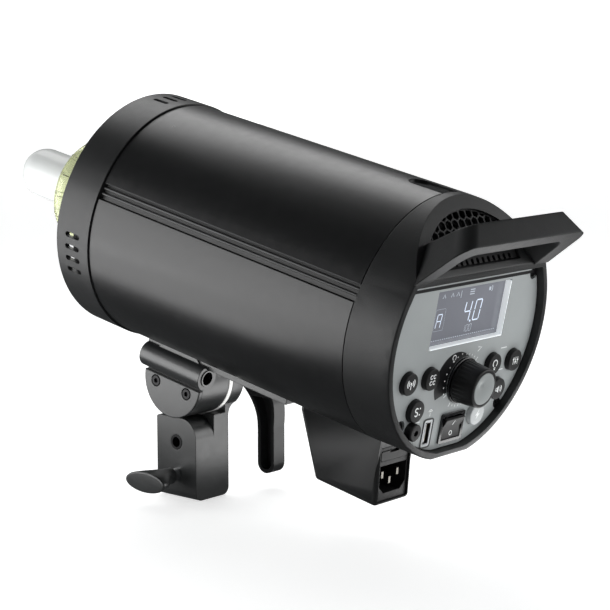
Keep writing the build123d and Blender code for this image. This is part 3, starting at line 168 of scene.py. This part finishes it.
def surface(name, color, roughness, metallic=0.0, grain_scale=0, grain_strength=0.2, edge=0.0004,
            spread=0.12, vary_scale=35, stretch=(1, 1, 1), distance=0.00012, **extra):
    """A complete opaque surface: colour variation, uneven gloss and moulded or machined grain."""
    material = new_material(name, color, roughness, metallic, **extra)
    vary(material, color, spread, vary_scale, roughness, min(0.07, roughness * 0.3))
    if grain_scale:
        grain(material, grain_scale, grain_strength, distance, stretch, edge)
    return material


housing = surface("housing_paint", (0.0055, 0.0057, 0.0062), 0.31, grain_scale=2600, grain_strength=0.10,
                  distance=0.00006, Specular_IOR_Level=0.55)
ring_black = surface("ring_plastic", (0.011, 0.0115, 0.012), 0.40, grain_scale=1900, grain_strength=0.25)
cover_black = surface("cover_plastic", (0.011, 0.0115, 0.012), 0.42, grain_scale=1500, grain_strength=0.6)
handle_black = surface("handle_plastic", (0.011, 0.0115, 0.012), 0.46, grain_scale=1500, grain_strength=0.45,
                       edge=0.0014, Specular_IOR_Level=0.3)
rail_black = surface("rail_plastic", (0.03, 0.0305, 0.031), 0.38, grain_scale=900, grain_strength=0.15,
                     stretch=(1, 0.08, 1))
deep_black = surface("moulded_black", (0.008, 0.008, 0.0085), 0.5, grain_scale=1400, grain_strength=0.3)
soft_black = surface("button_rubber", (0.008, 0.008, 0.0085), 0.46, grain_scale=2200, grain_strength=0.3,
                     Specular_IOR_Level=0.3)
knob_black = surface("knob_plastic", (0.008, 0.008, 0.0085), 0.4, grain_scale=1800, grain_strength=0.25,
                     Specular_IOR_Level=0.4)
gloss_black = surface("gloss_black", (0.004, 0.004, 0.005), 0.12, grain_scale=300, grain_strength=0.03,
                      Coat_Weight=0.6, Coat_Roughness=0.05)
panel_grey = surface("panel_sheet", (0.315, 0.337, 0.34), 0.45, grain_scale=2400, grain_strength=0.12,
                     spread=0.03, edge=0.0003)
cap_grey = surface("cap_plastic", (0.27, 0.29, 0.29), 0.42, grain_scale=2000, grain_strength=0.15,
                   spread=0.05)
test_grey = surface("test_button_plastic", (0.44, 0.46, 0.465), 0.4, grain_scale=2000, grain_strength=0.12,
                    spread=0.03)
bracket = surface("bracket_paint", (0.017, 0.0185, 0.019), 0.34, grain_scale=1300, grain_strength=0.3,
                  spread=0.2, edge=0.0007, Specular_IOR_Level=0.95)
steel = surface("machined_steel", (0.52, 0.53, 0.54), 0.3, 1.0, grain_scale=700, grain_strength=0.12,
                stretch=(1, 12, 1), spread=0.06)
plate_steel = surface("plated_sheet", (0.60, 0.61, 0.60), 0.26, 1.0, grain_scale=260, grain_strength=0.10,
                      spread=0.08)
black_steel = surface("black_oxide", (0.022, 0.022, 0.023), 0.33, 0.7, grain_scale=900, grain_strength=0.15)
chrome = surface("chrome", (0.88, 0.89, 0.90), 0.22, 1.0, grain_scale=500, grain_strength=0.03, spread=0.03)
# Nylon friction disc; its emission is a painted glow, brighter than the lights alone make it.
nylon_painted_glow = surface("nylon_painted_glow", (0.78, 0.78, 0.76), 0.4, grain_scale=800, grain_strength=0.1, spread=0.04,
                Emission_Color=(1, 1, 1, 1), Emission_Strength=0.12)
brass = surface("brass", (0.62, 0.47, 0.2), 0.28, 1.0, grain_scale=600, grain_strength=0.1)
pin_metal = surface("plated_pins", (0.20, 0.19, 0.17), 0.3, 1.0, grain_scale=600, grain_strength=0.1)
aluminium = surface("rolled_aluminium", (0.70, 0.70, 0.71), 0.32, 1.0, grain_scale=500, grain_strength=0.15)
ceramic = surface("ceramic", (0.80, 0.78, 0.72), 0.55, grain_scale=900, grain_strength=0.2, spread=0.05)
board_green = surface("solder_mask", (0.015, 0.12, 0.05), 0.3, grain_scale=420, grain_strength=0.2,
                      spread=0.3)
sleeve = surface("shrink_sleeve", (0.02, 0.025, 0.045), 0.25, grain_scale=300, grain_strength=0.08)
fan_black = surface("fan_plastic", (0.012, 0.012, 0.013), 0.35, grain_scale=900, grain_strength=0.1)
white_print = surface("white_print", (0.78, 0.80, 0.80), 0.5, grain_scale=4000, grain_strength=0.1, edge=0.0,
                      spread=0.04)
grey_print = surface("grey_print", (0.62, 0.65, 0.66), 0.5, grain_scale=4000, grain_strength=0.1, edge=0.0,
                     spread=0.04)
# Black print; the same material also carries the painted shadow of the dial knob.
black_print_and_painted_shadow = surface("black_print_and_painted_shadow", (0.006, 0.006, 0.007), 0.35, grain_scale=4000, grain_strength=0.1,
                      edge=0.0)
# Pale lining; its emission is a painted glow that brightens the shaded walls of the window.
liner_painted_glow = surface("screen_liner_painted_glow", (0.80, 0.83, 0.83), 0.35, grain_scale=2500, grain_strength=0.1, spread=0.03,
                Emission_Color=(0.9, 0.95, 1.0, 1), Emission_Strength=0.35)
lit = surface("lit_segments", (0.55, 0.62, 0.74), 0.4, grain_scale=3000, grain_strength=0.05, edge=0.0,
              spread=0.02, Emission_Color=(0.72, 0.80, 0.95, 1), Emission_Strength=0.42)
faint = surface("faint_segments", (0.42, 0.46, 0.52), 0.4, grain_scale=3000, grain_strength=0.05, edge=0.0,
                spread=0.02, Emission_Color=(0.5, 0.55, 0.62, 1), Emission_Strength=0.16)
wire = surface("trigger_wire", (0.16, 0.15, 0.12), 0.4, 1.0, grain_scale=900, grain_strength=0.2)

screen = surface("screen_film", (0.165, 0.17, 0.19), 0.2, grain_scale=600, grain_strength=0.03, spread=0.10,
                 vary_scale=9, Coat_Weight=0.35, Coat_Roughness=0.1,
                 Emission_Color=(0.17, 0.18, 0.22, 1), Emission_Strength=0.25)

frosted = surface("frosted_glass", (0.60, 0.62, 0.615), 0.40, grain_scale=700, grain_strength=0.1, edge=0.0,
                  spread=0.02, Subsurface_Weight=0.35, Subsurface_Radius=(0.012, 0.012, 0.012),
                  Emission_Color=(1.0, 0.98, 0.93, 1), Emission_Strength=0.06, Coat_Weight=0.3)
tube_glass = surface("flash_tube_glass", (0.86, 0.90, 0.58), 0.08, grain_scale=200, grain_strength=0.04,
                     edge=0.0, spread=0.04, Transmission_Weight=0.72, IOR=1.46)

NODE_MATERIALS = {
    "front_ring": ring_black, "mount_carrier": deep_black, "mount_flange": steel, "mount_screws": steel,
    "release_catch": deep_black, "reflector_plate": plate_steel, "lamp_socket": ceramic,
    "lamp_cap": aluminium, "modelling_lamp": frosted, "flash_tube": tube_glass, "tube_socket": ceramic,
    "body_upper_shell": housing, "body_lower_shell": housing, "left_side_rail": rail_black,
    "right_side_rail": rail_black, "sensor_window": gloss_black, "rear_cover": cover_black,
    "vent_grille": deep_black, "carry_handle": handle_black, "control_panel": panel_grey,
    "panel_screws": black_steel, "lcd_module": deep_black, "display_board": board_green,
    "dial_collar": gloss_black, "dial_knob": knob_black, "dial_cap": cap_grey, "dial_encoder": steel,
    "dial_shaft": steel, "wireless_button": soft_black, "group_button": soft_black,
    "mode_button": soft_black, "lamp_button": soft_black, "function_button": soft_black,
    "buzzer_button": soft_black, "test_button": test_grey, "power_switch_body": gloss_black,
    "power_rocker": deep_black, "usb_port": steel, "sync_jack": deep_black, "inlet_housing": ring_black,
    "iec_inlet": deep_black, "inlet_pins": pin_metal, "fuse_drawer": deep_black, "fan_frame": fan_black,
    "fan_rotor": fan_black, "inner_chassis": plate_steel, "power_board": board_green,
    "capacitor_bank": sleeve, "tilt_bracket": bracket, "side_plate": bracket,
    "side_plate_screws": black_steel, "friction_disc": nylon_painted_glow, "umbrella_sleeve": gloss_black,
    "axle_bolt": steel, "stand_block": bracket, "thread_insert": black_steel, "tilt_lever": ring_black,
    "clamp_screw": chrome, "clamp_wing": bracket, "clamp_pad": brass,
}
for name, node in nodes.items():
    node.data.materials.clear()
    node.data.materials.append(NODE_MATERIALS[name])
    for polygon in node.data.polygons:
        polygon.use_smooth = True
    weld = node.modifiers.new("weld", "WELD")
    weld.merge_threshold = 0.000002
    split = node.modifiers.new("split", "EDGE_SPLIT")
    split.split_angle = radians(28)


# ---------------------------------------------------------------- flat marks
def new_piece(name, build, material, body):
    """Make a mesh piece from a build function that fills a bmesh, and let it ride on a body."""
    mesh = bpy.data.meshes.new(name)
    work = bmesh.new()
    build(work)
    bmesh.ops.remove_doubles(work, verts=work.verts, dist=1e-7)
    bmesh.ops.recalc_face_normals(work, faces=work.faces)
    work.to_mesh(mesh)
    work.free()
    piece = bpy.data.objects.new(name, mesh)
    bpy.context.scene.collection.objects.link(piece)
    piece.data.materials.append(material)
    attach(piece, body)
    return piece


def slab(work, plane, outline, low, high):
    """Closed flat slab with a given outline between two heights."""
    lower = [work.verts.new(plane.at(u, v, low)) for u, v in outline]
    upper = [work.verts.new(plane.at(u, v, high)) for u, v in outline]
    work.faces.new(list(reversed(lower)))
    work.faces.new(upper)
    count = len(outline)
    for index in range(count):
        after = (index + 1) % count
        work.faces.new((lower[index], lower[after], upper[after], upper[index]))


def stroke(work, plane, points, width, low, high):
    """Line of constant width through points, as one mitred band."""
    left, right = [], []
    for index, point in enumerate(points):
        before = Vector(points[max(0, index - 1)])
        after = Vector(points[min(len(points) - 1, index + 1)])
        run = (after - before).normalized()
        side = Vector((-run.y, run.x)) * width / 2
        left.append(tuple(Vector(point) + side))
        right.append(tuple(Vector(point) - side))
    slab(work, plane, left + right[::-1], low, high)


def arc(center, radius, start, stop, steps=20):
    """Points along an arc, angles in degrees."""
    return [
        (
            center[0] + radius * cos(radians(start + (stop - start) * step / steps)),
            center[1] + radius * sin(radians(start + (stop - start) * step / steps)),
        )
        for step in range(steps + 1)
    ]


def disc(center, radius, steps=28):
    return arc(center, radius, 0, 360 * (steps - 1) / steps, steps - 1)


def rounded(center, width, height, radius, steps=6):
    """Outline of a rectangle with round corners."""
    u, v = center
    corners = (
        (u + width / 2 - radius, v + height / 2 - radius, 0),
        (u - width / 2 + radius, v + height / 2 - radius, 90),
        (u - width / 2 + radius, v - height / 2 + radius, 180),
        (u + width / 2 - radius, v - height / 2 + radius, 270),
    )
    outline = []
    for corner_u, corner_v, start in corners:
        outline += arc((corner_u, corner_v), radius, start, start + 90, steps)
    return outline


def frame_band(work, plane, outer, inner, low, high):
    """Closed band between two outlines with the same number of points."""
    count = len(outer)
    rings = [
        [work.verts.new(plane.at(u, v, height)) for u, v in outline]
        for outline, height in ((outer, low), (outer, high), (inner, high), (inner, low))
    ]
    for ring_index in range(4):
        near, far = rings[ring_index], rings[(ring_index + 1) % 4]
        for index in range(count):
            after = (index + 1) % count
            work.faces.new((near[index], near[after], far[after], far[index]))


# ---------------------------------------------------------------- screen
PRINT = 0.05           # height of printed marks over the panel
BURIED = -0.02         # how far a mark reaches into the face under it
SCREEN_Y = 222.4
SCREEN_MID = (2.5, 11.6)
SCREEN_WIDE, SCREEN_HIGH = 68.5, 33.5
screen_plane = panel_plane(SCREEN_Y)
panel_face = panel_plane(PANEL_Y)

SEGMENTS = {
    "0": "abcdef", "1": "bc", "4": "bcfg", "A": "abcefg", "C": "adef",
}


def digit(work, plane, corner, size, text, lean=0.12, high=0.09):
    """Seven-segment character; corner is its lower left, size its width and height."""
    width, height = size
    thick = width * 0.14
    gap = thick * 0.35
    places = {
        "a": ((gap, height), (width - gap, height)),
        "b": ((width, height - gap), (width, height / 2 + gap)),
        "c": ((width, height / 2 - gap), (width, gap)),
        "d": ((gap, 0), (width - gap, 0)),
        "e": ((0, height / 2 - gap), (0, gap)),
        "f": ((0, height - gap), (0, height / 2 + gap)),
        "g": ((gap, height / 2), (width - gap, height / 2)),
    }
    for segment in SEGMENTS[text]:
        ends = [(corner[0] + u + v * lean, corner[1] + v) for u, v in places[segment]]
        stroke(work, plane, ends, thick, 0.04, high)


def build_screen(work):
    slab(work, screen_plane, rounded(SCREEN_MID, SCREEN_WIDE + 0.8, SCREEN_HIGH + 0.8, 0.6), 0.01, 0.05)


def build_liner(work):
    """Pale lining of the window's right and lower walls; its glow is a painted highlight on walls that lie
    in shade.
    """
    right = SCREEN_MID[0] + SCREEN_WIDE / 2 - 0.45
    left = SCREEN_MID[0] - SCREEN_WIDE / 2 + 0.9
    top = SCREEN_MID[1] + SCREEN_HIGH / 2 - 0.9
    foot = SCREEN_MID[1] - SCREEN_HIGH / 2 + 0.45
    stroke(work, screen_plane, [(right, top), (right, foot), (left, foot)], 0.75, 0.06, 3.7)


def build_digits(work):
    digit(work, screen_plane, (0.2, 6.4), (5.4, 11.6), "4")
    digit(work, screen_plane, (9.6, 6.4), (5.4, 11.6), "0")
    slab(work, screen_plane, disc((7.5, 6.3), 0.7, 12), 0.04, 0.09)
    digit(work, screen_plane, (-24.5, 5.6), (4.0, 7.8), "A")


def build_small_marks(work):
    for u in (-22.0, -14.5, -9.5):
        stroke(work, screen_plane, [(u, 22.4), (u + 1.3, 24.6), (u + 2.6, 22.4)], 0.45, 0.04, 0.08)
    stroke(work, screen_plane, [(-5.2, 21.0), (-5.2, 25.2)], 0.4, 0.04, 0.08)
    for row in range(3):
        stroke(work, screen_plane, [(3.0, 22.2 + 1.3 * row), (7.2, 22.2 + 1.3 * row)], 0.6, 0.04, 0.08)
    slab(work, screen_plane, rounded((21.8, 23.4), 1.8, 2.0, 0.2), 0.04, 0.08)
    stroke(work, screen_plane, arc((21.6, 23.4), 2.6, -40, 40, 8), 0.5, 0.04, 0.08)
    for place, text in ((1.6, "1"), (4.6, "0"), (7.6, "0")):
        digit(work, screen_plane, (place, 0.4), (2.0, 3.8), text, high=0.08)
    for u in range(-28, 34, 2):
        stroke(work, screen_plane, [(u, -1.6), (u + 1.2, -1.6)], 0.5, 0.04, 0.07)
    stroke(work, screen_plane, rounded((-21.6, 10.2), 8.8, 12.4, 0.8) + [(-17.2, 15.6)], 0.14, 0.04, 0.07)


new_piece("screen_film", build_screen, screen, "head")
new_piece("screen_liner_painted_glow", build_liner, liner_painted_glow, "head")
new_piece("screen_digits", build_digits, lit, "head")
new_piece("screen_marks", build_small_marks, faint, "head")


# ---------------------------------------------------------------- panel print and the painted shadow of the dial knob
TICK_COUNT = 31
TICK_START, TICK_SWEEP = -120, 330
TICK_WIDTH = 0.5


def build_ticks(work):
    """Scale round the dial, broken where the painted shadow of the knob lies, and the small marks of the
    panel.
    """
    for step in range(TICK_COUNT):
        angle = TICK_START + TICK_SWEEP * step / (TICK_COUNT - 1)
        near = 14.6 if step % 5 else 14.2
        far = 15.7 if step % 5 else 16.8
        if 96 < angle < 204:
            continue
        direction = (cos(radians(angle)), sin(radians(angle)))
        stroke(
            work, panel_face,
            [(DIAL[0] + near * direction[0], DIAL[1] + near * direction[1]),
             (DIAL[0] + far * direction[0], DIAL[1] + far * direction[1])],
            TICK_WIDTH, BURIED, PRINT,
        )
    stroke(work, panel_face, [(15.6, -11.6), (18.8, -9.4), (15.4, -9.0)], 0.5, BURIED, PRINT)
    stroke(work, panel_face, [(38.6, -13.0), (44.4, -13.0)], 0.5, BURIED, PRINT)
    stroke(work, panel_face, [(38.6, -26.2), (44.4, -26.2)], 0.5, BURIED, PRINT)
    stroke(work, panel_face, arc((-19.4, -42.4), 1.7, 20, 160, 10), 0.45, BURIED, PRINT)
    stroke(work, panel_face, arc((-19.4, -42.4), 0.8, 20, 160, 8), 0.45, BURIED, PRINT)
    stroke(work, panel_face, [(-19.4, -44.6), (-19.4, -42.6)], 0.45, BURIED, PRINT)
    stroke(work, panel_face, arc((-30.4, -46.6), 1.5, 200, 340, 8), 0.5, BURIED, PRINT)
    stroke(work, panel_face, [(-33.0, -46.4), (-27.8, -46.4)], 0.4, BURIED, PRINT)


# Painted shadow of the dial knob: a black patch on the panel face, offset up and to the left as if cast by
# the knob.
def build_painted_knob_shadow(work):
    outer = arc((DIAL[0] - 8, DIAL[1] + 0.5), 17.1, 50, 212, 32)
    inner = arc(DIAL, 13.8, 204, 76, 32)
    slab(work, panel_face, outer + inner, BURIED, PRINT)


def build_sector_marks(work):
    for step in range(8):
        angle = 104 + 14 * step
        middle = (DIAL[0] + 16.4 * cos(radians(angle)), DIAL[1] + 16.4 * sin(radians(angle)))
        slab(work, panel_face, disc(middle, 0.42, 10), PRINT - 0.01, 2 * PRINT)
    stroke(work, panel_face, arc((-6.0, -12.4), 1.5, -60, 240, 16), 0.45, PRINT - 0.01, 2 * PRINT)
    stroke(work, panel_face, [(-6.6, -14.6), (-5.4, -14.6)], 0.8, PRINT - 0.01, 2 * PRINT)


def build_gap(work):
    """Dark joint line along the top of the panel."""
    stroke(work, panel_face, [(-58.2, 28.4), (-57.0, 30.7), (57.0, 30.7), (58.2, 28.4)], 1.9, BURIED, PRINT)


new_piece("panel_gap", build_gap, black_print_and_painted_shadow, "head")
new_piece("dial_ticks", build_ticks, white_print, "head")
new_piece("dial_knob_painted_shadow", build_painted_knob_shadow, black_print_and_painted_shadow, "head")
new_piece("dial_sector_marks", build_sector_marks, white_print, "head")

USB_MID = (-19.5, -54.6)
USB_RIM = rounded(USB_MID, 7.6, 15.8, 1.3)


def build_usb_frame(work):
    frame_band(work, panel_face, rounded(USB_MID, 9.2, 17.4, 1.8), USB_RIM, BURIED, 0.35)


def build_usb_well(work):
    frame_band(work, panel_face, USB_RIM, rounded(USB_MID, 5.4, 13.3, 0.4), BURIED, 0.12)


def build_usb_contacts(work):
    plane = panel_plane(225.6)
    for row in range(4):
        stroke(work, plane, [(-19.45, -58.9 + 2.6 * row), (-19.45, -57.7 + 2.6 * row)], 0.25, -3.0, 0.0)


new_piece("usb_frame", build_usb_frame, black_print_and_painted_shadow, "head")
new_piece("usb_well", build_usb_well, grey_print, "head")
new_piece("usb_contacts", build_usb_contacts, brass, "head")


# ---------------------------------------------------------------- button icons
BUTTON_TOP = 229.2
button_face = panel_plane(BUTTON_TOP)
ICON = 0.045


def icon_stroke(work, points, width=0.62):
    stroke(work, button_face, points, width, BURIED, ICON)


def icon_wireless(work):
    u, v = (-46.5, -21.0)
    slab(work, button_face, disc((u, v + 0.6), 0.75, 14), BURIED, ICON)
    for radius in (1.9, 3.1):
        icon_stroke(work, arc((u, v + 0.6), radius, -42, 42, 10))
        icon_stroke(work, arc((u, v + 0.6), radius, 138, 222, 10))
    icon_stroke(work, [(u, v - 0.2), (u, v - 2.8)])


def icon_group(work):
    u, v = (-27.0, -21.2)
    for height in (1.7, -1.7):
        icon_stroke(work, arc((u - 1.4, v + height), 1.05, 40, 320, 12), 0.55)
        icon_stroke(work, arc((u + 1.4, v + height), 1.05, 40, 320, 12), 0.55)


def icon_mode(work):
    u, v = (-36.0, -38.4)
    icon_stroke(work, arc((u - 0.9, v + 1.2), 1.15, 20, 270, 12), 0.7)
    icon_stroke(work, arc((u - 0.9, v - 1.1), 1.15, 90, -160, 12), 0.7)
    slab(work, button_face, disc((u + 2.0, v + 1.9), 0.5, 10), BURIED, ICON)
    slab(work, button_face, disc((u + 2.0, v - 1.7), 0.5, 10), BURIED, ICON)


def icon_lamp(work):
    u, v = (31.2, -20.9)
    icon_stroke(work, arc((u, v + 0.7), 2.0, -55, 235, 20))
    icon_stroke(work, [(u - 0.8, v - 2.0), (u + 0.8, v - 2.0)])
    icon_stroke(work, [(u - 0.6, v - 2.9), (u + 0.6, v - 2.9)])


def icon_function(work):
    u, v = (51.5, -21.3)
    for step, height in ((-2.0, 0.9), (0.0, -0.8), (2.0, 0.4)):
        icon_stroke(work, [(u + step, v - 2.2), (u + step, v + 2.2)], 0.42)
        slab(work, button_face, rounded((u + step, v + height), 1.4, 0.9, 0.3, 3), BURIED, ICON)


def icon_buzzer(work):
    u, v = (39.8, -36.9)
    icon_stroke(
        work,
        [(u - 2.8, v - 0.8), (u - 2.8, v + 0.8), (u - 1.7, v + 0.8), (u - 0.3, v + 2.0), (u - 0.3, v - 2.0),
         (u - 1.7, v - 0.8), (u - 2.8, v - 0.8)],
        0.5,
    )
    icon_stroke(work, arc((u - 0.2, v), 1.6, -45, 45, 8), 0.5)
    icon_stroke(work, arc((u - 0.2, v), 2.8, -45, 45, 8), 0.5)


def icon_test(work):
    u, v = (22.9, -49.6)
    slab(
        work, button_face,
        [(u + 1.1, v + 3.1), (u - 1.9, v - 0.5), (u - 0.2, v - 0.4), (u - 1.0, v - 3.1), (u + 2.0, v + 0.6),
         (u + 0.3, v + 0.5)],
        -0.02, ICON,
    )


ICONS = {
    "wireless": icon_wireless, "group": icon_group, "mode": icon_mode, "lamp": icon_lamp,
    "function": icon_function, "buzzer": icon_buzzer, "test": icon_test,
}
for name, build in ICONS.items():
    new_piece(f"{name}_icon", build, white_print, f"{name}_key")


# ---------------------------------------------------------------- rocker marks
ROCKER_PIVOT = Vector(joints["rocker_turn"]["pos_m"])
ROCKER_TILT = radians(10.0)


def rocker_plane(side):
    """Plane on the upper (1) or lower (-1) face of the rocker as it rests."""
    slope = atan2(1.7, 7.0) * side
    turn = Matrix.Rotation(-ROCKER_TILT - slope, 3, "X")
    up = turn @ HEAD_UP
    out = turn @ HEAD_AXIS
    middle = ROCKER_PIVOT + (Matrix.Rotation(-ROCKER_TILT, 3, "X") @ HEAD_AXIS) * 0.0012
    middle += up * 0.0034 * side + out * 0.00003
    return Plane(middle, (-1, 0, 0), up)


def build_rocker_marks(work):
    stroke(work, rocker_plane(1), [(-0.2, -1.5), (0.2, 1.5)], 0.55, BURIED, ICON)
    ring = arc((0, 0), 1.5, 0, 330, 22)
    inner = arc((0, 0), 1.0, 0, 330, 22)
    frame_band(work, rocker_plane(-1), ring, inner, BURIED, ICON)


new_piece("rocker_marks", build_rocker_marks, white_print, "rocker")


# ---------------------------------------------------------------- flash tube wire and electrodes
def revolve_path(work, points, radius, sides=8):
    """Closed tube that follows a list of points."""
    rings = []
    for index, point in enumerate(points):
        before = points[max(0, index - 1)]
        after = points[min(len(points) - 1, index + 1)]
        run = (after - before).normalized()
        side = run.cross(HEAD_AXIS if abs(run.dot(HEAD_AXIS)) < 0.9 else Vector((1, 0, 0))).normalized()
        up = run.cross(side).normalized()
        angles = [2 * pi * step / sides for step in range(sides)]
        rings.append([
            work.verts.new(point + (side * cos(angle) + up * sin(angle)) * radius)
            for angle in angles
        ])
    for near, far in zip(rings, rings[1:]):
        for step in range(sides):
            after = (step + 1) % sides
            work.faces.new((near[step], near[after], far[after], far[step]))
    work.faces.new(list(reversed(rings[0])))
    work.faces.new(rings[-1])


TUBE_RING_R = 29.5
TUBE_R = 6.0
TUBE_RING_Y = -70.0


def ring_point(angle, out, along):
    """Point near the flash tube ring: out from its centre line, along the head axis."""
    reach = TUBE_RING_R + out
    return head_point(reach * cos(radians(angle)), TUBE_RING_Y + along, reach * sin(radians(angle)))


def build_wire(work):
    for index in range(15):
        middle = -90 + 24 + index * (360 - 48) / 14
        loop = [
            ring_point(
                middle + 2.6 * step / 24,
                (TUBE_R + 0.16) * cos(2 * pi * step / 24),
                (TUBE_R + 0.16) * sin(2 * pi * step / 24),
            )
            for step in range(25)
        ]
        revolve_path(work, loop, 0.00022, 6)
    line = [ring_point(-66 + 312 * step / 120, -TUBE_R - 0.2, 0) for step in range(121)]
    revolve_path(work, line, 0.0002, 6)


def build_electrodes(work):
    for side in (-1, 1):
        leg_x = side * TUBE_RING_R * cos(radians(74))
        leg_z = -TUBE_RING_R * sin(radians(74))
        for radius, start, stop in ((2.2, -44, -31), (0.8, -52, -44)):
            path = [head_point(leg_x, start + (stop - start) * step / 4, leg_z) for step in range(5)]
            revolve_path(work, path, radius / 1000, 16)


new_piece("trigger_wire", build_wire, wire, "head")
new_piece("tube_electrodes", build_electrodes, steel, "head")


# ---------------------------------------------------------------- thread of the lamp base
def build_cap_thread(work):
    for index in range(5):
        loop = [
            head_point(13.35 * cos(2 * pi * step / 48), -33.0 + 3.4 * index, 13.35 * sin(2 * pi * step / 48))
            for step in range(49)
        ]
        revolve_path(work, loop, 0.0003, 8)


new_piece("lamp_thread", build_cap_thread, aluminium, "head")


# ---------------------------------------------------------------- light, floor and camera
def area_light(name, location, target, width, height, radiance):
    """Softbox of a given size and radiance, unseen by the camera itself."""
    data = bpy.data.lights.new(name, "AREA")
    data.shape = "RECTANGLE"
    data.size = width
    data.size_y = height
    data.energy = radiance * pi * width * height
    light = bpy.data.objects.new(name, data)
    light.location = location
    aim = Vector(target) - Vector(location)
    light.rotation_euler = aim.to_track_quat("-Z", "Y").to_euler()
    light.visible_camera = False
    bpy.context.scene.collection.objects.link(light)


CENTRE = Vector((0.0, 0.09, 0.17))
LOW = 0.006            # height of the softboxes that lie on the floor
area_light("left_softbox", (0.55, -0.36, 0.22), (0.0, 0.16, 0.22), 0.80, 0.42, 3.4)
area_light("left_low", (0.39, -0.30, LOW), (0.39, -0.30, 1.0), 0.46, 0.56, 2.8)
area_light("top_softbox", (-0.41, -0.43, 0.92), (0.0, 0.09, 0.18), 0.90, 0.46, 2.9)
area_light("right_softbox", (-0.45, 0.58, 0.20), (0.0, 0.12, 0.15), 0.60, 0.36, 2.5)
area_light("right_low", (-0.15, 0.16, LOW), (-0.15, 0.16, 1.0), 0.22, 0.20, 3.0)
area_light("rear_fill", CENTRE + Vector((0.20, 1.70, 0.75)), CENTRE, 1.0, 1.0, 1.0)

world = bpy.data.worlds.new("studio")
world.use_nodes = True
world.node_tree.nodes["Background"].inputs["Color"].default_value = (0.93, 0.96, 0.97, 1)
world.node_tree.nodes["Background"].inputs["Strength"].default_value = 0.07
bpy.context.scene.world = world

floor_white = surface("floor_paint", (0.80, 0.81, 0.81), 0.8, grain_scale=40, grain_strength=0.02, edge=0.0,
                      spread=0.01, vary_scale=2, Emission_Color=(1, 1, 1, 1), Emission_Strength=0.62)
backdrop_white = surface("backdrop_paint", (0.85, 0.86, 0.86), 0.9, grain_scale=40, grain_strength=0.02,
                         edge=0.0, spread=0.01, vary_scale=2, Emission_Color=(1, 1, 1, 1),
                         Emission_Strength=0.95)


def stage_grid(name, material, size, location, normal):
    """Large flat sheet that belongs to the studio, not to the object."""
    mesh = bpy.data.meshes.new(name)
    work = bmesh.new()
    bmesh.ops.create_grid(work, x_segments=8, y_segments=8, size=size)
    work.to_mesh(mesh)
    work.free()
    sheet = bpy.data.objects.new(name, mesh)
    sheet.location = location
    sheet.rotation_euler = Vector(normal).to_track_quat("Z", "Y").to_euler()
    mesh.materials.append(material)
    sheet.visible_glossy = False
    bpy.context.scene.collection.objects.link(sheet)


FLOOR_Z = cad_box[0][2] - 0.0005
stage_grid("floor", floor_white, 9.0, (0, 0, FLOOR_Z), (0, 0, 1))
stage_grid("backdrop", backdrop_white, 5.0, (-2.9, -2.85, FLOOR_Z + 4.9), (0.71, 0.70, 0))

AZIMUTH = radians(134.41)
ELEVATION = radians(6.21)
TARGET = Vector((0, -0.0136, 0.170))
DISTANCE = 1.1889
SHIFT_RIGHT, SHIFT_DOWN = 0.08031, 0.05195
back = Vector((sin(AZIMUTH) * cos(ELEVATION), -cos(AZIMUTH) * cos(ELEVATION), sin(ELEVATION)))
right = Vector((cos(AZIMUTH), sin(AZIMUTH), 0))
up = back.cross(right)
eye = TARGET + back * DISTANCE
look_at = TARGET + right * SHIFT_RIGHT - up * SHIFT_DOWN
camera_data = bpy.data.cameras.new("camera")
camera_data.lens = 112.9
camera_data.sensor_width = 36
camera_data.clip_start = 0.05
camera = bpy.data.objects.new("camera", camera_data)
camera.location = eye
camera.rotation_euler = (look_at - eye).to_track_quat("-Z", "Y").to_euler()
bpy.context.scene.collection.objects.link(camera)
bpy.context.scene.camera = camera
bpy.context.scene.view_settings.view_transform = "Standard"
